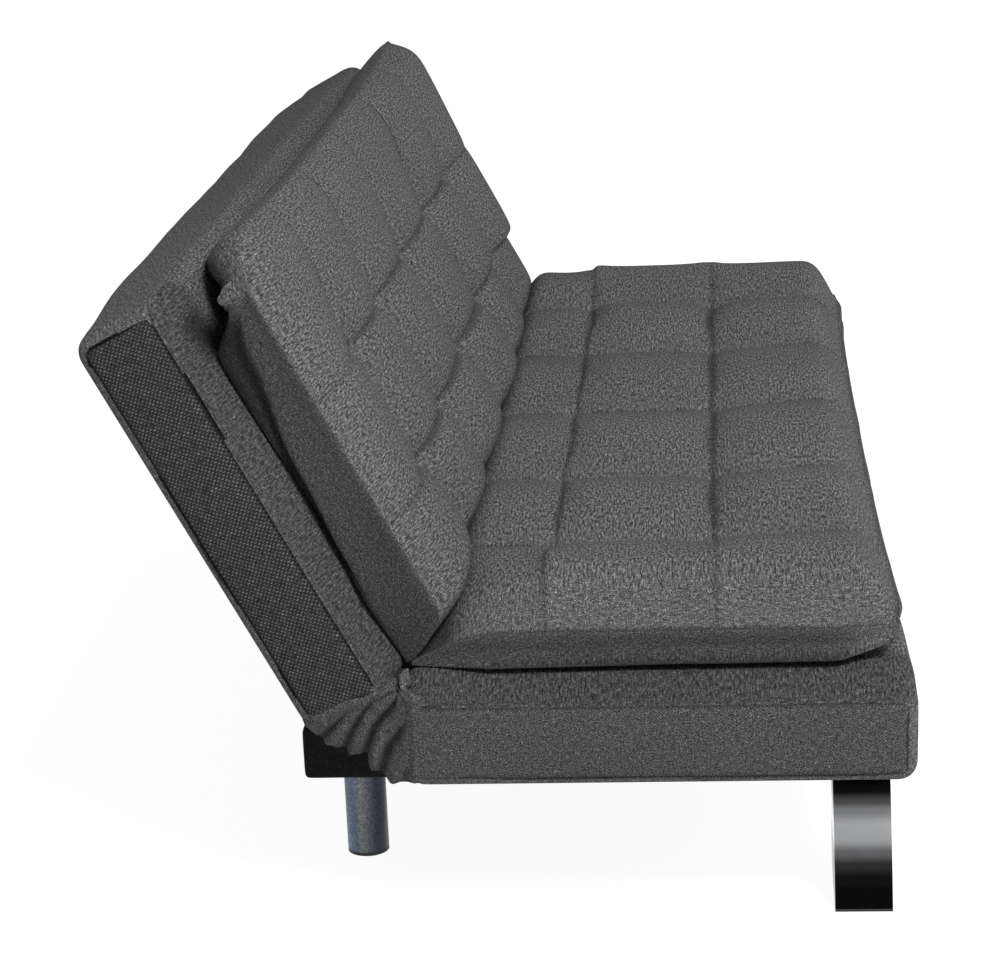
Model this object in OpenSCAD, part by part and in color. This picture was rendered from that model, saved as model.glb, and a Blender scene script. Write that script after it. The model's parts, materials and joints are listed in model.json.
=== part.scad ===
// Click-clack sofa bed: an upholstered seat box and back box of equal build,
// joined by ratchet hinges, each with a tufted pillow top.
// X runs along the sofa, the front faces -Y, Z is up and the floor is at zero.

/* [Overall] */
// Length of the sofa from end to end
sofa_length = 1680; // [1400:10:1900]
// Depth of the seat box from its front to its hinge end
seat_depth = 524; // [480:2:600]
// Length of the back box from its hinge end to its top edge
back_length = 466; // [420:1:520]
// Thickness of the seat box
seat_thickness = 116; // [106:1:130]
// Height of the underside of the seat box above the floor
seat_clearance = 162; // [150:1:200]
// Lean of the back behind upright in the sitting position
back_lean = 27.5; // [20:0.5:35]
// Forward swing that frees the ratchet
release_angle = 5; // [0:0.5:6]

/* [Boxes] */
// Radius of the rounded long edges of both boxes
edge_round = 22; // [14:1:26]
// Thickness of the upholstery cover with its wadding
cover_wall = 3; // [2:0.5:5]
// Width of the cover hem turned under the frame
hem_width = 46; // [40:1:60]
// Thickness of the foam wrapped round the front and top rails
edge_foam = 20; // [12:1:30]
// Thickness of the wadding at the hinge end of each box
hinge_wadding = 8; // [5:0.5:12]
// Distance from the cover to the outer face of the end rails
end_foam = 47; // [44:1:60]

/* [Frames] */
// Thickness of the timber rails
rail_wall = 25; // [18:1:32]
// Height of the timber rails
rail_height = 70; // [60:1:80]
// Side of the square corner blocks
block_side = 60; // [50:1:80]
// Number of cross rails in each frame
cross_rails = 3; // [1:1:5]
// Number of webbing straps in each frame
strap_count = 9; // [5:1:12]
// Width of a webbing strap
strap_width = 60; // [40:1:80]
// Thickness of a webbing strap
strap_wall = 2; // [1:0.5:3]

/* [Cushions] */
// Height of the seat cushion's crown above the box
seat_crown = 98; // [60:1:110]
// Height of the back cushion's crown above the box
back_crown = 84; // [60:1:100]
// Height of the boxing strip at the border of the seat cushion
seat_border = 34; // [26:1:50]
// Height of the boxing strip at the border of the back cushion
back_border = 54; // [30:1:60]
// Distance from the end of a box to the end of its cushion
cushion_inset = 58; // [57:1:90]
// Setback of the seat cushion from the front of the seat box
front_setback = 17; // [10:1:40]
// Overhang of the back cushion above the top of the back box
top_overhang = 13; // [0:1:25]
// Rise of each tufted cell between its seams
cell_puff = 26; // [6:1:32]
// Depth by which the long sides are drawn in between corners
draw_in = 12; // [2:1:20]
// Length over which the cushion tapers down to the hinge
hinge_taper = 120; // [100:1:160]

/* [Hinge] */
// Depth of the hinge axis below the top faces of the boxes
hinge_drop = 12; // [12:0.5:16]
// Gap from the hinge axis to the end of each box
hinge_gap = 4; // [3:0.5:8]
// Radius of the pivot pin
pivot_radius = 6; // [5:0.25:7]
// Radius of the hinge eyes
eye_radius = 12; // [11:0.25:12]
// Thickness of the hinge plates
plate_wall = 5; // [4:0.25:5.5]
// Length of a hinge arm from the pivot to its tail end
arm_length = 205; // [190:1:230]
// Width of the hinge arm tail
arm_width = 30; // [26:1:34]
// Radius of the ratchet sector
sector_radius = 40; // [36:0.5:40]
// Radius of the hinge bolts
hinge_bolt_radius = 3.5; // [3:0.25:4]
// Bolts that hold each hinge arm
hinge_bolts = 3; // [2:1:4]

/* [Rear beam] */
// Depth of the beam from front to back
beam_depth = 186; // [160:1:200]
// Height of the beam
beam_height = 61; // [52:1:70]
// Distance from the end of the sofa to the end of the beam
beam_inset = 180; // [150:5:260]
// Reach of the beam behind the hinge axis
beam_reach = 129; // [100:1:140]
// Thickness of the beam boards
board_wall = 15; // [12:1:18]
// Thickness of the black cloth wrapped round the beam
wrap_wall = 1.5; // [1:0.25:2.5]
// Radius of the beam's rounded edges
beam_round = 8; // [4:0.5:12]

/* [Legs] */
// Radius of the round rear legs
rear_leg_radius = 23; // [20:0.5:28]
// Wall of the rear leg tube
rear_leg_wall = 2; // [1.5:0.25:3]
// Distance from the end of the sofa to the rear leg centre
rear_leg_inset = 227; // [220:1:320]
// Distance of the rear leg centre behind the hinge axis
rear_leg_reach = 68; // [40:1:80]
// Thickness of the black glide under each leg
glide_wall = 3; // [2:0.5:5]
// Width of the front legs along the depth of the sofa
front_leg_width = 60; // [46:1:64]
// Distance from the end of the sofa to the toe of the front leg
front_toe_inset = 50; // [40:1:90]
// Distance from the front of the seat box to the front leg
front_leg_setback = 24; // [20:1:40]
// Splay of the front leg from its head to its toe
front_leg_splay = 50; // [30:1:60]
// Depth of the head of the front leg along the sofa
front_head = 43; // [36:1:60]
// Wall of the pressed front leg
front_leg_wall = 3; // [2:0.5:4]
// Thickness of the black pad on top of the front leg
front_pad = 8; // [5:1:12]
// Radius of the leg studs
stud_radius = 4; // [3:0.25:5]

/* [Hidden] */
$fn = 64;
soft_gap = 0.3;
running_gap = 0.05;
bolt_gap = 0.1;
overrun = 1;

half_length = sofa_length / 2;
thickness_step = 1;
back_thickness = seat_thickness - thickness_step;
flat_angle = 90 - back_lean;

// Side view: the hinge axis sits a little under the top faces
hinge_z = seat_clearance + seat_thickness - hinge_drop;
corner_y = hinge_gap + back_length - edge_round;
corner_z = hinge_drop - back_thickness + edge_round;
back_reach = corner_y * cos(flat_angle) - corner_z * sin(flat_angle) + edge_round;
seat_reach = hinge_gap + seat_depth;
hinge_y = (seat_reach - back_reach) / 2;

// Hinge plates stand side by side just outside the end rails
seat_rail_x = half_length - cover_wall - end_foam;
plate_gap = 0.5;
back_rail_x = seat_rail_x + plate_wall + plate_gap;
pin_head_wall = 3;
pin_head_lip = 4;
pin_head_radius = pivot_radius + pin_head_lip;
bolt_head_wall = 4;
bolt_head_radius = 2 * hinge_bolt_radius;
pocket_gap = 1.5;
pocket_x = back_rail_x + plate_wall + bolt_head_wall + pocket_gap;
slot_x = seat_rail_x - pin_head_wall - pocket_gap;

// Heights inside a box, from the hinge axis
top_z = hinge_drop;
slab_top = top_z - cover_wall;
tail_drop = 55;
elbow_reach = 55;
crank_width = 22;
bolt_bite = 18;

// Ratchet: three notches hold the back upright, half way and flat
pawl_angle = 255;
sector_margin = 14;
notch_half = 5.5;
notch_depth = 8;
pawl_length = 45;
nose_half = 4;
nose_height = 5;
pawl_bar = 9;
nose_gap = 0.8;
pawl_boss = 9;
pawl_head_radius = 8;
pawl_pin_radius = 4;
nose_radius = sector_radius + nose_gap;
pawl_y = nose_radius * cos(pawl_angle) + pawl_length * sin(pawl_angle);
pawl_z = nose_radius * sin(pawl_angle) - pawl_length * cos(pawl_angle);
pawl_bank = 6;

// Beam
beam_top = seat_clearance;
beam_bottom = beam_top - beam_height;
beam_rear_y = hinge_y + beam_reach;
beam_front_y = beam_rear_y - beam_depth;
beam_half = half_length - beam_inset;
beam_bolts = 4;
beam_bolt_rise = 47;

// Legs
rear_leg_x = half_length - rear_leg_inset;
rear_leg_y = hinge_y + rear_leg_reach;
insert_wall = 12;
stud_bite = 12;
front_y = -(seat_reach + back_reach) / 2;
leg_front_y = front_y + front_leg_setback;
toe_x = half_length - front_toe_inset;
head_x = toe_x - front_leg_splay;
head_z = seat_clearance - front_pad;
leg_bulge = 5;
heel_height = 43;
heel_depth = 92;
toe_flat = 22;
stud_spacing = 30;
front_stud_rise = 34;

// The rails at the hinge end are bevelled to clear the rounding inside the cover
least_bevel = 1;
rail_bevel = max(least_bevel, edge_round - cover_wall - hinge_wadding + soft_gap);

// Cushion cells, as shares of the half length and of the cushion depth
seat_row_shares = [-1, -0.72, -0.39, 0, 0.39, 0.72, 1];
back_row_shares = [-1, -0.67, -0.36, 0, 0.36, 0.67, 1];
seat_column_shares = [0, 0.275, 0.625, 1];
back_column_shares = [0, 0.285, 0.595, 1];
cell_step_shares = [0, 0.08, 0.28, 0.5, 0.72, 0.92];
cushion_half = half_length - cushion_inset;
cushion_gap = 7;
cushion_start = hinge_gap + cushion_gap;
hinge_lip = 4;
border_fade = 62;
border_bulge = 4;
border_tuck = 9;
rim_share = 0.9;
cell_power = 2.6;

fabric_grey = [0.24, 0.25, 0.26];
foam_cream = [0.88, 0.83, 0.62];
pine = [0.78, 0.6, 0.4];
plate_steel = [0.45, 0.46, 0.48];
bright_steel = [0.75, 0.76, 0.78];
cloth_black = [0.06, 0.06, 0.07];
rubber_black = [0.09, 0.09, 0.09];
leg_blue_grey = [0.22, 0.25, 0.3];

// Places: both boxes are drawn running away from the hinge axis along +Y
module seat_side() {
    translate([0, hinge_y, hinge_z]) mirror([0, 1, 0]) children();
}

module back_side() {
    translate([0, hinge_y, hinge_z]) rotate([flat_angle, 0, 0]) children();
}

module at_end(side) {
    if (side > 0) children();
    else mirror([1, 0, 0]) children();
}

module both_ends() {
    for (side = [-1, 1]) at_end(side) children();
}

module block(from, to) {
    translate(from) cube(to - from);
}

// Extrudes a drawing of the YZ plane along X, from x0 to x1
module plate_yz(x0, x1) {
    translate([x0, 0, 0]) rotate([90, 0, 90]) linear_extrude(x1 - x0) children();
}

module rod_x(x0, x1, radius) {
    translate([x0, 0, 0]) rotate([0, 90, 0]) cylinder(r = radius, h = x1 - x0);
}

module bar(from, to, width) {
    run = to - from;
    translate(from) rotate(atan2(run.y, run.x)) translate([0, -width / 2]) square([norm(run), width]);
    for (spot = [from, to]) translate(spot) circle(d = width);
}

module rounded_rect(size, radius) {
    translate([radius, 0]) square([size.x - 2 * radius, size.y]);
    translate([0, radius]) square([size.x, size.y - 2 * radius]);
    for (x = [radius, size.x - radius], y = [radius, size.y - radius])
        translate([x, y]) circle(radius);
}

// A box with every long edge rounded, made of three crossed rounded bars
module soft_box(from, to, radius) {
    size = to - from;
    translate(from) intersection() {
        rotate([90, 0, 90]) linear_extrude(size.x) rounded_rect([size.y, size.z], radius);
        linear_extrude(size.z) rounded_rect([size.x, size.y], radius);
        translate([0, size.y, 0]) rotate([90, 0, 0])
            linear_extrude(size.y) rounded_rect([size.x, size.z], radius);
    }
}

// Timber frame, drawn in the box's own place
function rail_bottom(thickness) = hinge_drop - thickness + cover_wall;
function rail_top(thickness) = rail_bottom(thickness) + rail_height;
function near_rail_y() = hinge_gap + cover_wall + hinge_wadding;
function far_rail_y(length) = hinge_gap + length - cover_wall - edge_foam;

module rail_bevel_cut(thickness, rail_x) {
    y = near_rail_y();
    z = rail_bottom(thickness);
    plate_yz(-rail_x - overrun, rail_x + overrun) polygon([
        [y - overrun, z - overrun],
        [y + rail_bevel + overrun, z - overrun],
        [y - overrun, z + rail_bevel + overrun]
    ]);
}

module near_rail(thickness, rail_x) {
    inner = rail_x - rail_wall;
    difference() {
        block([-inner, near_rail_y(), rail_bottom(thickness)],
            [inner, near_rail_y() + rail_wall, rail_top(thickness)]);
        rail_bevel_cut(thickness, rail_x);
    }
}

module far_rail(length, thickness, rail_x) {
    inner = rail_x - rail_wall;
    block([-inner, far_rail_y(length) - rail_wall, rail_bottom(thickness)],
        [inner, far_rail_y(length), rail_top(thickness)]);
}

module end_rail(length, thickness, rail_x) {
    difference() {
        block([rail_x - rail_wall, near_rail_y(), rail_bottom(thickness)],
            [rail_x, far_rail_y(length), rail_top(thickness)]);
        rail_bevel_cut(thickness, rail_x);
        arm_bolt_places() rod_x(rail_x - bolt_bite - overrun, rail_x + overrun,
            hinge_bolt_radius + bolt_gap);
    }
}

module cross_rail_set(length, thickness, rail_x) {
    inner = rail_x - rail_wall;
    pitch = 2 * inner / (cross_rails + 1);
    for (i = [1 : cross_rails]) {
        middle = -inner + i * pitch;
        block([middle - rail_wall / 2, near_rail_y() + rail_wall, rail_bottom(thickness)],
            [middle + rail_wall / 2, far_rail_y(length) - rail_wall, rail_top(thickness)]);
    }
}

module corner_block_set(length, thickness, rail_x) {
    inner = rail_x - rail_wall;
    near_y = near_rail_y() + rail_wall;
    far_y = far_rail_y(length) - rail_wall;
    both_ends() for (y = [near_y, far_y - block_side])
        block([inner - block_side, y, rail_bottom(thickness)],
            [inner, y + block_side, rail_top(thickness)]);
}

module strap_set(length, thickness, rail_x) {
    inner = rail_x - rail_wall;
    pitch = 2 * inner / strap_count;
    for (i = [0 : strap_count - 1]) {
        middle = -inner + (i + 0.5) * pitch;
        block([middle - strap_width / 2, near_rail_y(), rail_top(thickness)],
            [middle + strap_width / 2, far_rail_y(length), rail_top(thickness) + strap_wall]);
    }
}

// Space kept for the hinge plates at each end of a box
module slab_pocket() {
    block([slot_x, 0, -sector_radius], [pocket_x, -pawl_y + pawl_boss + pawl_bank, top_z + overrun]);
}

module tail_pocket(thickness) {
    block([0, 0, rail_bottom(thickness) - overrun],
        [pocket_x, arm_length + arm_width / 2, rail_top(thickness) + overrun]);
}

module cover_slot() {
    block([slot_x, -overrun, -sector_radius - pawl_bank],
        [pocket_x, hinge_gap + edge_round + soft_gap, top_z + overrun]);
}

module foam_slab(length, thickness) {
    inner_end = half_length - cover_wall;
    difference() {
        intersection() {
            soft_box([-inner_end, hinge_gap + cover_wall, hinge_drop - thickness + cover_wall],
                [inner_end, hinge_gap + length - cover_wall, slab_top], edge_round - cover_wall);
            block([-inner_end, hinge_gap, rail_top(thickness) + strap_wall],
                [inner_end, hinge_gap + length, top_z]);
        }
        both_ends() slab_pocket();
    }
}

// Foam round the far rail and both ends, in one U-shaped piece
module foam_surround(length, thickness, rail_x) {
    inner_end = half_length - cover_wall;
    difference() {
        intersection() {
            soft_box([-inner_end, hinge_gap + cover_wall, rail_bottom(thickness)],
                [inner_end, hinge_gap + length - cover_wall, slab_top], edge_round - cover_wall);
            block([-inner_end, near_rail_y(), rail_bottom(thickness)],
                [inner_end, hinge_gap + length, rail_top(thickness) + strap_wall]);
        }
        block([-rail_x, 0, rail_bottom(thickness) - overrun],
            [rail_x, far_rail_y(length), rail_top(thickness) + strap_wall + overrun]);
        both_ends() tail_pocket(thickness);
        both_ends() slab_pocket();
    }
}

module hinge_pad(thickness, rail_x) {
    inner = rail_x - rail_wall;
    block([-inner, hinge_gap + cover_wall, rail_bottom(thickness) + edge_round],
        [inner, near_rail_y(), rail_top(thickness)]);
}

module box_cover(length, thickness) {
    bottom = hinge_drop - thickness;
    difference() {
        soft_box([-half_length, hinge_gap, bottom],
            [half_length, hinge_gap + length, top_z], edge_round);
        soft_box([-half_length + cover_wall, hinge_gap + cover_wall, bottom + cover_wall],
            [half_length - cover_wall, hinge_gap + length - cover_wall, slab_top],
            edge_round - cover_wall);
        block([-half_length + hem_width, hinge_gap + hem_width, bottom - overrun],
            [half_length - hem_width, hinge_gap + length - hem_width, bottom + cover_wall + overrun]);
        both_ends() cover_slot();
    }
}

module underside_panel(length, thickness) {
    bottom = hinge_drop - thickness;
    rim = hem_width + soft_gap;
    block([-half_length + rim, hinge_gap + rim, bottom],
        [half_length - rim, hinge_gap + length - rim, bottom + cover_wall]);
}

// Tufted cushion: a grid of crowned cells over a drawn-in border
function spread(stops, steps) = [
    for (i = [0 : len(stops) - 2]) each
        [for (s = steps) stops[i] + s * (stops[i + 1] - stops[i])],
    stops[len(stops) - 1]
];
function cell_rise(share) = 1 - pow(abs(2 * share - 1), cell_power);
function rise_list(count, steps) = [
    for (i = [0 : count - 1]) each [for (s = steps) cell_rise(s)],
    0
];
function ease(gap, length) = 1 - pow(1 - min(1, max(0, gap / length)), 2);
function pulled(share) = draw_in * (1 - pow(2 * share - 1, 2));

module tufted_cushion(depth, crown, border, row_shares, column_shares) {
    xs = spread(row_shares * cushion_half, cell_step_shares);
    ys = spread(column_shares * depth, cell_step_shares);
    x_rise = rise_list(len(row_shares) - 1, cell_step_shares);
    y_rise = rise_list(len(column_shares) - 1, cell_step_shares);
    nx = len(xs);
    ny = len(ys);
    function height(i, j) =
        hinge_lip + ease(ys[j], hinge_taper) * (border - hinge_lip
            + (crown - border - cell_puff)
                * ease(cushion_half - abs(xs[i]), border_fade) * ease(depth - ys[j], border_fade)
            + cell_puff * x_rise[i] * y_rise[j]);
    function across(i, j) = xs[i] * (1 - pulled(ys[j] / depth) / cushion_half);
    function along(i, j) = ys[j]
        - (ys[j] / depth) * pulled((xs[i] + cushion_half) / (2 * cushion_half));
    top = [for (j = [0 : ny - 1], i = [0 : nx - 1]) [across(i, j), along(i, j), height(i, j)]];
    rim = concat(
        [for (i = [0 : nx - 2]) i],
        [for (j = [0 : ny - 2]) j * nx + nx - 1],
        [for (i = [nx - 1 : -1 : 1]) (ny - 1) * nx + i],
        [for (j = [ny - 1 : -1 : 1]) j * nx]);
    count = len(rim);
    function beyond(share) = max(0, (share - rim_share) / (1 - rim_share));
    function outward(p) = [sign(p.x) * beyond(abs(p.x) / cushion_half), beyond(p.y / depth)];
    function ring(share, shift) = [for (k = rim) let (p = top[k], n = outward(p))
        [p.x + shift * n.x, p.y + shift * n.y, p.z * share]];
    middle = ring(0.5, border_bulge);
    foot = ring(0, -border_tuck);
    points = concat(top, middle, foot, [[0, depth / 2, 0]]);
    first_middle = len(top);
    first_foot = first_middle + count;
    top_faces = [for (j = [0 : ny - 2], i = [0 : nx - 2]) let (a = j * nx + i)
        each [[a, a + nx, a + nx + 1], [a, a + nx + 1, a + 1]]];
    upper_faces = [for (k = [0 : count - 1]) let (n = (k + 1) % count)
        each [[rim[k], rim[n], first_middle + n], [rim[k], first_middle + n, first_middle + k]]];
    lower_faces = [for (k = [0 : count - 1]) let (n = (k + 1) % count)
        each [[first_middle + k, first_middle + n, first_foot + n],
            [first_middle + k, first_foot + n, first_foot + k]]];
    base_faces = [for (k = [0 : count - 1])
        [first_foot + k, first_foot + (k + 1) % count, first_foot + count]];
    translate([0, cushion_start, top_z + soft_gap])
        polyhedron(points, concat(top_faces, upper_faces, lower_faces, base_faces));
}

// Hinge plates, drawn in the YZ plane around the pivot
function bolt_reach(i) = elbow_reach + crank_width
    + (arm_length - elbow_reach - 2 * crank_width) * i / (hinge_bolts - 1);

module arm_bolt_places() {
    for (i = [0 : hinge_bolts - 1]) translate([0, bolt_reach(i), -tail_drop]) children();
}

module arm_outline() {
    circle(eye_radius);
    bar([0, 0], [elbow_reach, -tail_drop], crank_width);
    bar([elbow_reach, -tail_drop], [arm_length, -tail_drop], arm_width);
}

module arm_plate(x0, x1) {
    difference() {
        plate_yz(x0, x1) difference() {
            children();
            circle(pivot_radius + running_gap);
        }
        arm_bolt_places() rod_x(x0 - overrun, x1 + overrun, hinge_bolt_radius + bolt_gap);
    }
}

module seat_arm() {
    difference() {
        arm_plate(seat_rail_x, seat_rail_x + plate_wall) {
            union() {
                arm_outline();
                bar([-pawl_y, -tail_drop], [-pawl_y, pawl_z], 2 * pawl_boss);
            }
        }
        translate([0, -pawl_y, pawl_z]) rod_x(seat_rail_x - overrun,
            seat_rail_x + plate_wall + overrun, pawl_pin_radius + running_gap);
    }
}

// The sector's notches meet the pawl when the back is upright, half way and flat
module ratchet_notch(angle) {
    rotate(angle) translate([sector_radius - notch_depth, -notch_half])
        square([2 * notch_depth, 2 * notch_half]);
}

// The upright notch is widened by the forward swing that frees the ratchet
module ratchet_sector() {
    steps = 4;
    upright = pawl_angle - flat_angle;
    first = upright - release_angle - sector_margin;
    last = pawl_angle + sector_margin;
    difference() {
        intersection() {
            circle(sector_radius);
            polygon(concat([[0, 0]], [for (k = [0 : steps])
                let (a = first + (last - first) * k / steps)
                    2 * sector_radius * [cos(a), sin(a)]]));
        }
        for (angle = [pawl_angle, (pawl_angle + upright) / 2, upright, upright - release_angle])
            ratchet_notch(angle);
    }
}

module back_arm() {
    arm_plate(back_rail_x, back_rail_x + plate_wall) {
        union() {
            arm_outline();
            ratchet_sector();
        }
    }
}

module arm_bolt_set(rail_x) {
    plate_x = rail_x + plate_wall;
    both_ends() arm_bolt_places() {
        rod_x(rail_x - bolt_bite, plate_x + bolt_head_wall / 2, hinge_bolt_radius);
        rod_x(plate_x, plate_x + bolt_head_wall, bolt_head_radius);
    }
}

module pivot_pin() {
    outer = back_rail_x + plate_wall + plate_gap;
    rod_x(seat_rail_x - pin_head_wall / 2, outer + pin_head_wall / 2, pivot_radius);
    rod_x(seat_rail_x - pin_head_wall, seat_rail_x, pin_head_radius);
    rod_x(outer, outer + pin_head_wall, pin_head_radius);
}

module pawl_pin() {
    outer = back_rail_x + plate_wall + soft_gap;
    translate([0, pawl_y, pawl_z]) {
        rod_x(seat_rail_x, outer + pin_head_wall / 2, pawl_pin_radius);
        rod_x(outer, outer + pin_head_wall / 2, pawl_head_radius);
    }
}

module pawl() {
    difference() {
        translate([0, pawl_y, pawl_z]) plate_yz(back_rail_x, back_rail_x + plate_wall)
            rotate(pawl_angle - 270) {
                circle(pawl_boss);
                translate([0, -nose_height - pawl_bar]) square([pawl_length + nose_half, pawl_bar]);
                translate([pawl_length - nose_half, -nose_height - pawl_bar])
                    square([2 * nose_half, nose_height + pawl_bar]);
                translate([0, -nose_height - pawl_bar])
                    square([pawl_boss, nose_height + pawl_bar]);
            }
        translate([0, pawl_y, pawl_z]) rod_x(back_rail_x - overrun,
            back_rail_x + plate_wall + overrun, pawl_pin_radius + running_gap);
    }
}

// Fabric web that closes the wedge between the boxes at each end
function turned(y, z) = [y * cos(flat_angle) - z * sin(flat_angle),
    y * sin(flat_angle) + z * cos(flat_angle)];

module gusset() {
    outer_x = half_length - edge_round;
    seat_edge = -hinge_gap + soft_gap;
    seat_foot = hinge_drop - seat_thickness + edge_round;
    back_foot = hinge_drop - back_thickness + edge_round;
    steps = 8;
    hem = [for (k = [0 : steps]) let (
            share = k / steps,
            turn = flat_angle * share,
            from_axis = (1 - share) * -seat_foot + share * -back_foot
                - edge_round * sin(180 * share))
        [from_axis * sin(turn), -from_axis * cos(turn)]];
    translate([0, hinge_y, hinge_z]) plate_yz(outer_x - cover_wall, outer_x) intersection() {
        polygon(concat([[seat_edge, hinge_gap], [seat_edge, seat_foot]], hem,
            [turned(-seat_edge, back_foot), turned(-seat_edge, hinge_gap)]));
        translate([seat_edge, seat_foot - edge_round])
            square([back_thickness, seat_thickness]);
        rotate(flat_angle) translate([hinge_gap - soft_gap - seat_thickness, -back_thickness])
            square([seat_thickness, 2 * back_thickness]);
    }
}

// Rear beam
module beam_bolt_places(z) {
    reach = beam_half - 2 * block_side;
    bolt_y = hinge_y - near_rail_y() - rail_wall / 2;
    for (i = [0 : beam_bolts - 1])
        translate([reach * (2 * i / (beam_bolts - 1) - 1), bolt_y, z]) children();
}

module beam_block(inset, z0, z1) {
    block([-beam_half + inset, beam_front_y + inset, z0],
        [beam_half - inset, beam_rear_y - inset, z1]);
}

// A rounded bar as long as the beam, inset all round
module beam_form(inset) {
    soft_box([-beam_half + inset, beam_front_y + inset, beam_bottom + inset],
        [beam_half - inset, beam_rear_y - inset, beam_top - inset], beam_round - inset);
}

module beam_bolt_holes() {
    beam_bolt_places(beam_bottom) cylinder(r = stud_radius + bolt_gap,
        h = beam_height + rail_height);
}

module rear_leg_places(z) {
    for (side = [-1, 1]) translate([side * rear_leg_x, rear_leg_y, z]) children();
}

// Curved front leg: drawn in the XZ plane with its toe outwards
function arc_bow(share, bow) = bow * sin(180 * share);

// The inset draws the same outline inside the leg's sheet wall, open at the toe
module front_leg_outline(inset) {
    steps = 12;
    roof = inset > 0 ? head_z - stud_bite - inset : head_z;
    floor_z = inset > 0 ? glide_wall - overrun : glide_wall;
    heel_z = heel_height + inset;
    outer = [for (k = [0 : steps]) let (share = k / steps)
        [head_x - inset + front_leg_splay * share + arc_bow(share, leg_bulge),
            roof + (floor_z - roof) * share]];
    inner = [for (k = [0 : steps]) let (share = k / steps)
        [toe_x - heel_depth + inset + (head_x - front_head - toe_x + heel_depth) * share
                + arc_bow(share, -leg_bulge),
            heel_z + (roof - heel_z) * share]];
    heel_run = heel_depth - toe_flat;
    heel_curve = [for (k = [1 : steps - 1]) let (turn = 90 * k / steps)
        [toe_x - toe_flat + inset - heel_run * sin(turn),
            floor_z + inset + (heel_z - floor_z - inset) * (1 - cos(turn))]];
    polygon(concat(outer, [[toe_x - toe_flat + inset, floor_z]], heel_curve, inner));
}

module front_leg_slab(inset) {
    translate([0, leg_front_y + front_leg_width - inset, 0]) rotate([90, 0, 0])
        linear_extrude(front_leg_width - 2 * inset) front_leg_outline(inset);
}

module front_leg() {
    difference() {
        front_leg_slab(0);
        front_leg_slab(front_leg_wall);
        front_stud_places(head_z - stud_bite)
            cylinder(r = stud_radius + bolt_gap, h = stud_bite + overrun);
    }
}

module front_stud_places(z) {
    for (s = [-0.5, 0.5])
        translate([head_x - front_head / 2, leg_front_y + front_leg_width / 2 + s * stud_spacing, z])
            children();
}

module front_stud_holes() {
    both_ends() front_stud_places(seat_clearance - overrun) cylinder(r = stud_radius + bolt_gap,
        h = front_stud_rise + 2 * overrun);
}

// Seat box
module seat_front_rail() {
    color(pine) difference() {
        seat_side() far_rail(seat_depth, seat_thickness, seat_rail_x);
        front_stud_holes();
    }
}

module seat_rear_rail() {
    color(pine) difference() {
        seat_side() near_rail(seat_thickness, seat_rail_x);
        beam_bolt_holes();
    }
}

module seat_left_end_rail() {
    color(pine) at_end(-1) seat_side() end_rail(seat_depth, seat_thickness, seat_rail_x);
}

module seat_right_end_rail() {
    color(pine) at_end(1) seat_side() end_rail(seat_depth, seat_thickness, seat_rail_x);
}

module seat_cross_rails() {
    color(pine) seat_side() cross_rail_set(seat_depth, seat_thickness, seat_rail_x);
}

module seat_corner_blocks() {
    color(pine) difference() {
        seat_side() corner_block_set(seat_depth, seat_thickness, seat_rail_x);
        front_stud_holes();
    }
}

module seat_webbing() {
    color(cloth_black) seat_side() strap_set(seat_depth, seat_thickness, seat_rail_x);
}

module seat_foam() {
    color(foam_cream) seat_side() foam_slab(seat_depth, seat_thickness);
}

module seat_edge_foam() {
    color(foam_cream) seat_side() foam_surround(seat_depth, seat_thickness, seat_rail_x);
}

module seat_hinge_wadding() {
    color("white") seat_side() hinge_pad(seat_thickness, seat_rail_x);
}

module seat_box_cover() {
    color(fabric_grey) difference() {
        seat_side() box_cover(seat_depth, seat_thickness);
        front_stud_holes();
        beam_bolt_holes();
    }
}

module seat_dust_cover() {
    color(cloth_black) difference() {
        seat_side() underside_panel(seat_depth, seat_thickness);
        front_stud_holes();
        beam_bolt_holes();
    }
}

module seat_cushion() {
    color(fabric_grey) seat_side()
        tufted_cushion(hinge_gap + seat_depth - front_setback - cushion_start, seat_crown,
            seat_border, seat_row_shares, seat_column_shares);
}

// Beam and legs
module beam_top_board() {
    color(pine) difference() {
        intersection() {
            beam_block(wrap_wall, beam_top - wrap_wall - board_wall, beam_top - wrap_wall);
            beam_form(wrap_wall);
        }
        beam_bolt_holes();
    }
}

module beam_bottom_board() {
    color(pine) difference() {
        intersection() {
            beam_block(wrap_wall, beam_bottom + wrap_wall, beam_bottom + wrap_wall + board_wall);
            beam_form(wrap_wall);
        }
        rear_leg_places(beam_bottom) cylinder(r = stud_radius + bolt_gap, h = beam_height);
        beam_bolt_places(beam_bottom) cylinder(r = bolt_head_radius + overrun, h = beam_height / 2);
    }
}

module beam_side_boards() {
    color(pine) for (y = [beam_front_y + wrap_wall, beam_rear_y - wrap_wall - board_wall])
        intersection() {
            block([-beam_half + wrap_wall, y, beam_bottom + wrap_wall + board_wall],
                [beam_half - wrap_wall, y + board_wall, beam_top - wrap_wall - board_wall]);
            beam_form(wrap_wall);
        }
}

module beam_end_blocks() {
    color(pine) both_ends()
        block([beam_half - wrap_wall - board_wall, beam_front_y + wrap_wall + board_wall,
                beam_bottom + wrap_wall + board_wall],
            [beam_half - wrap_wall, beam_rear_y - wrap_wall - board_wall,
                beam_top - wrap_wall - board_wall]);
}

module beam_wrap() {
    color(cloth_black) difference() {
        beam_form(0);
        beam_form(wrap_wall);
        beam_bolt_holes();
        rear_leg_places(beam_bottom - overrun) cylinder(r = stud_radius + bolt_gap,
            h = beam_height / 2);
        beam_bolt_places(beam_bottom - overrun) cylinder(r = bolt_head_radius + overrun,
            h = beam_height / 2);
    }
}

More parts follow.
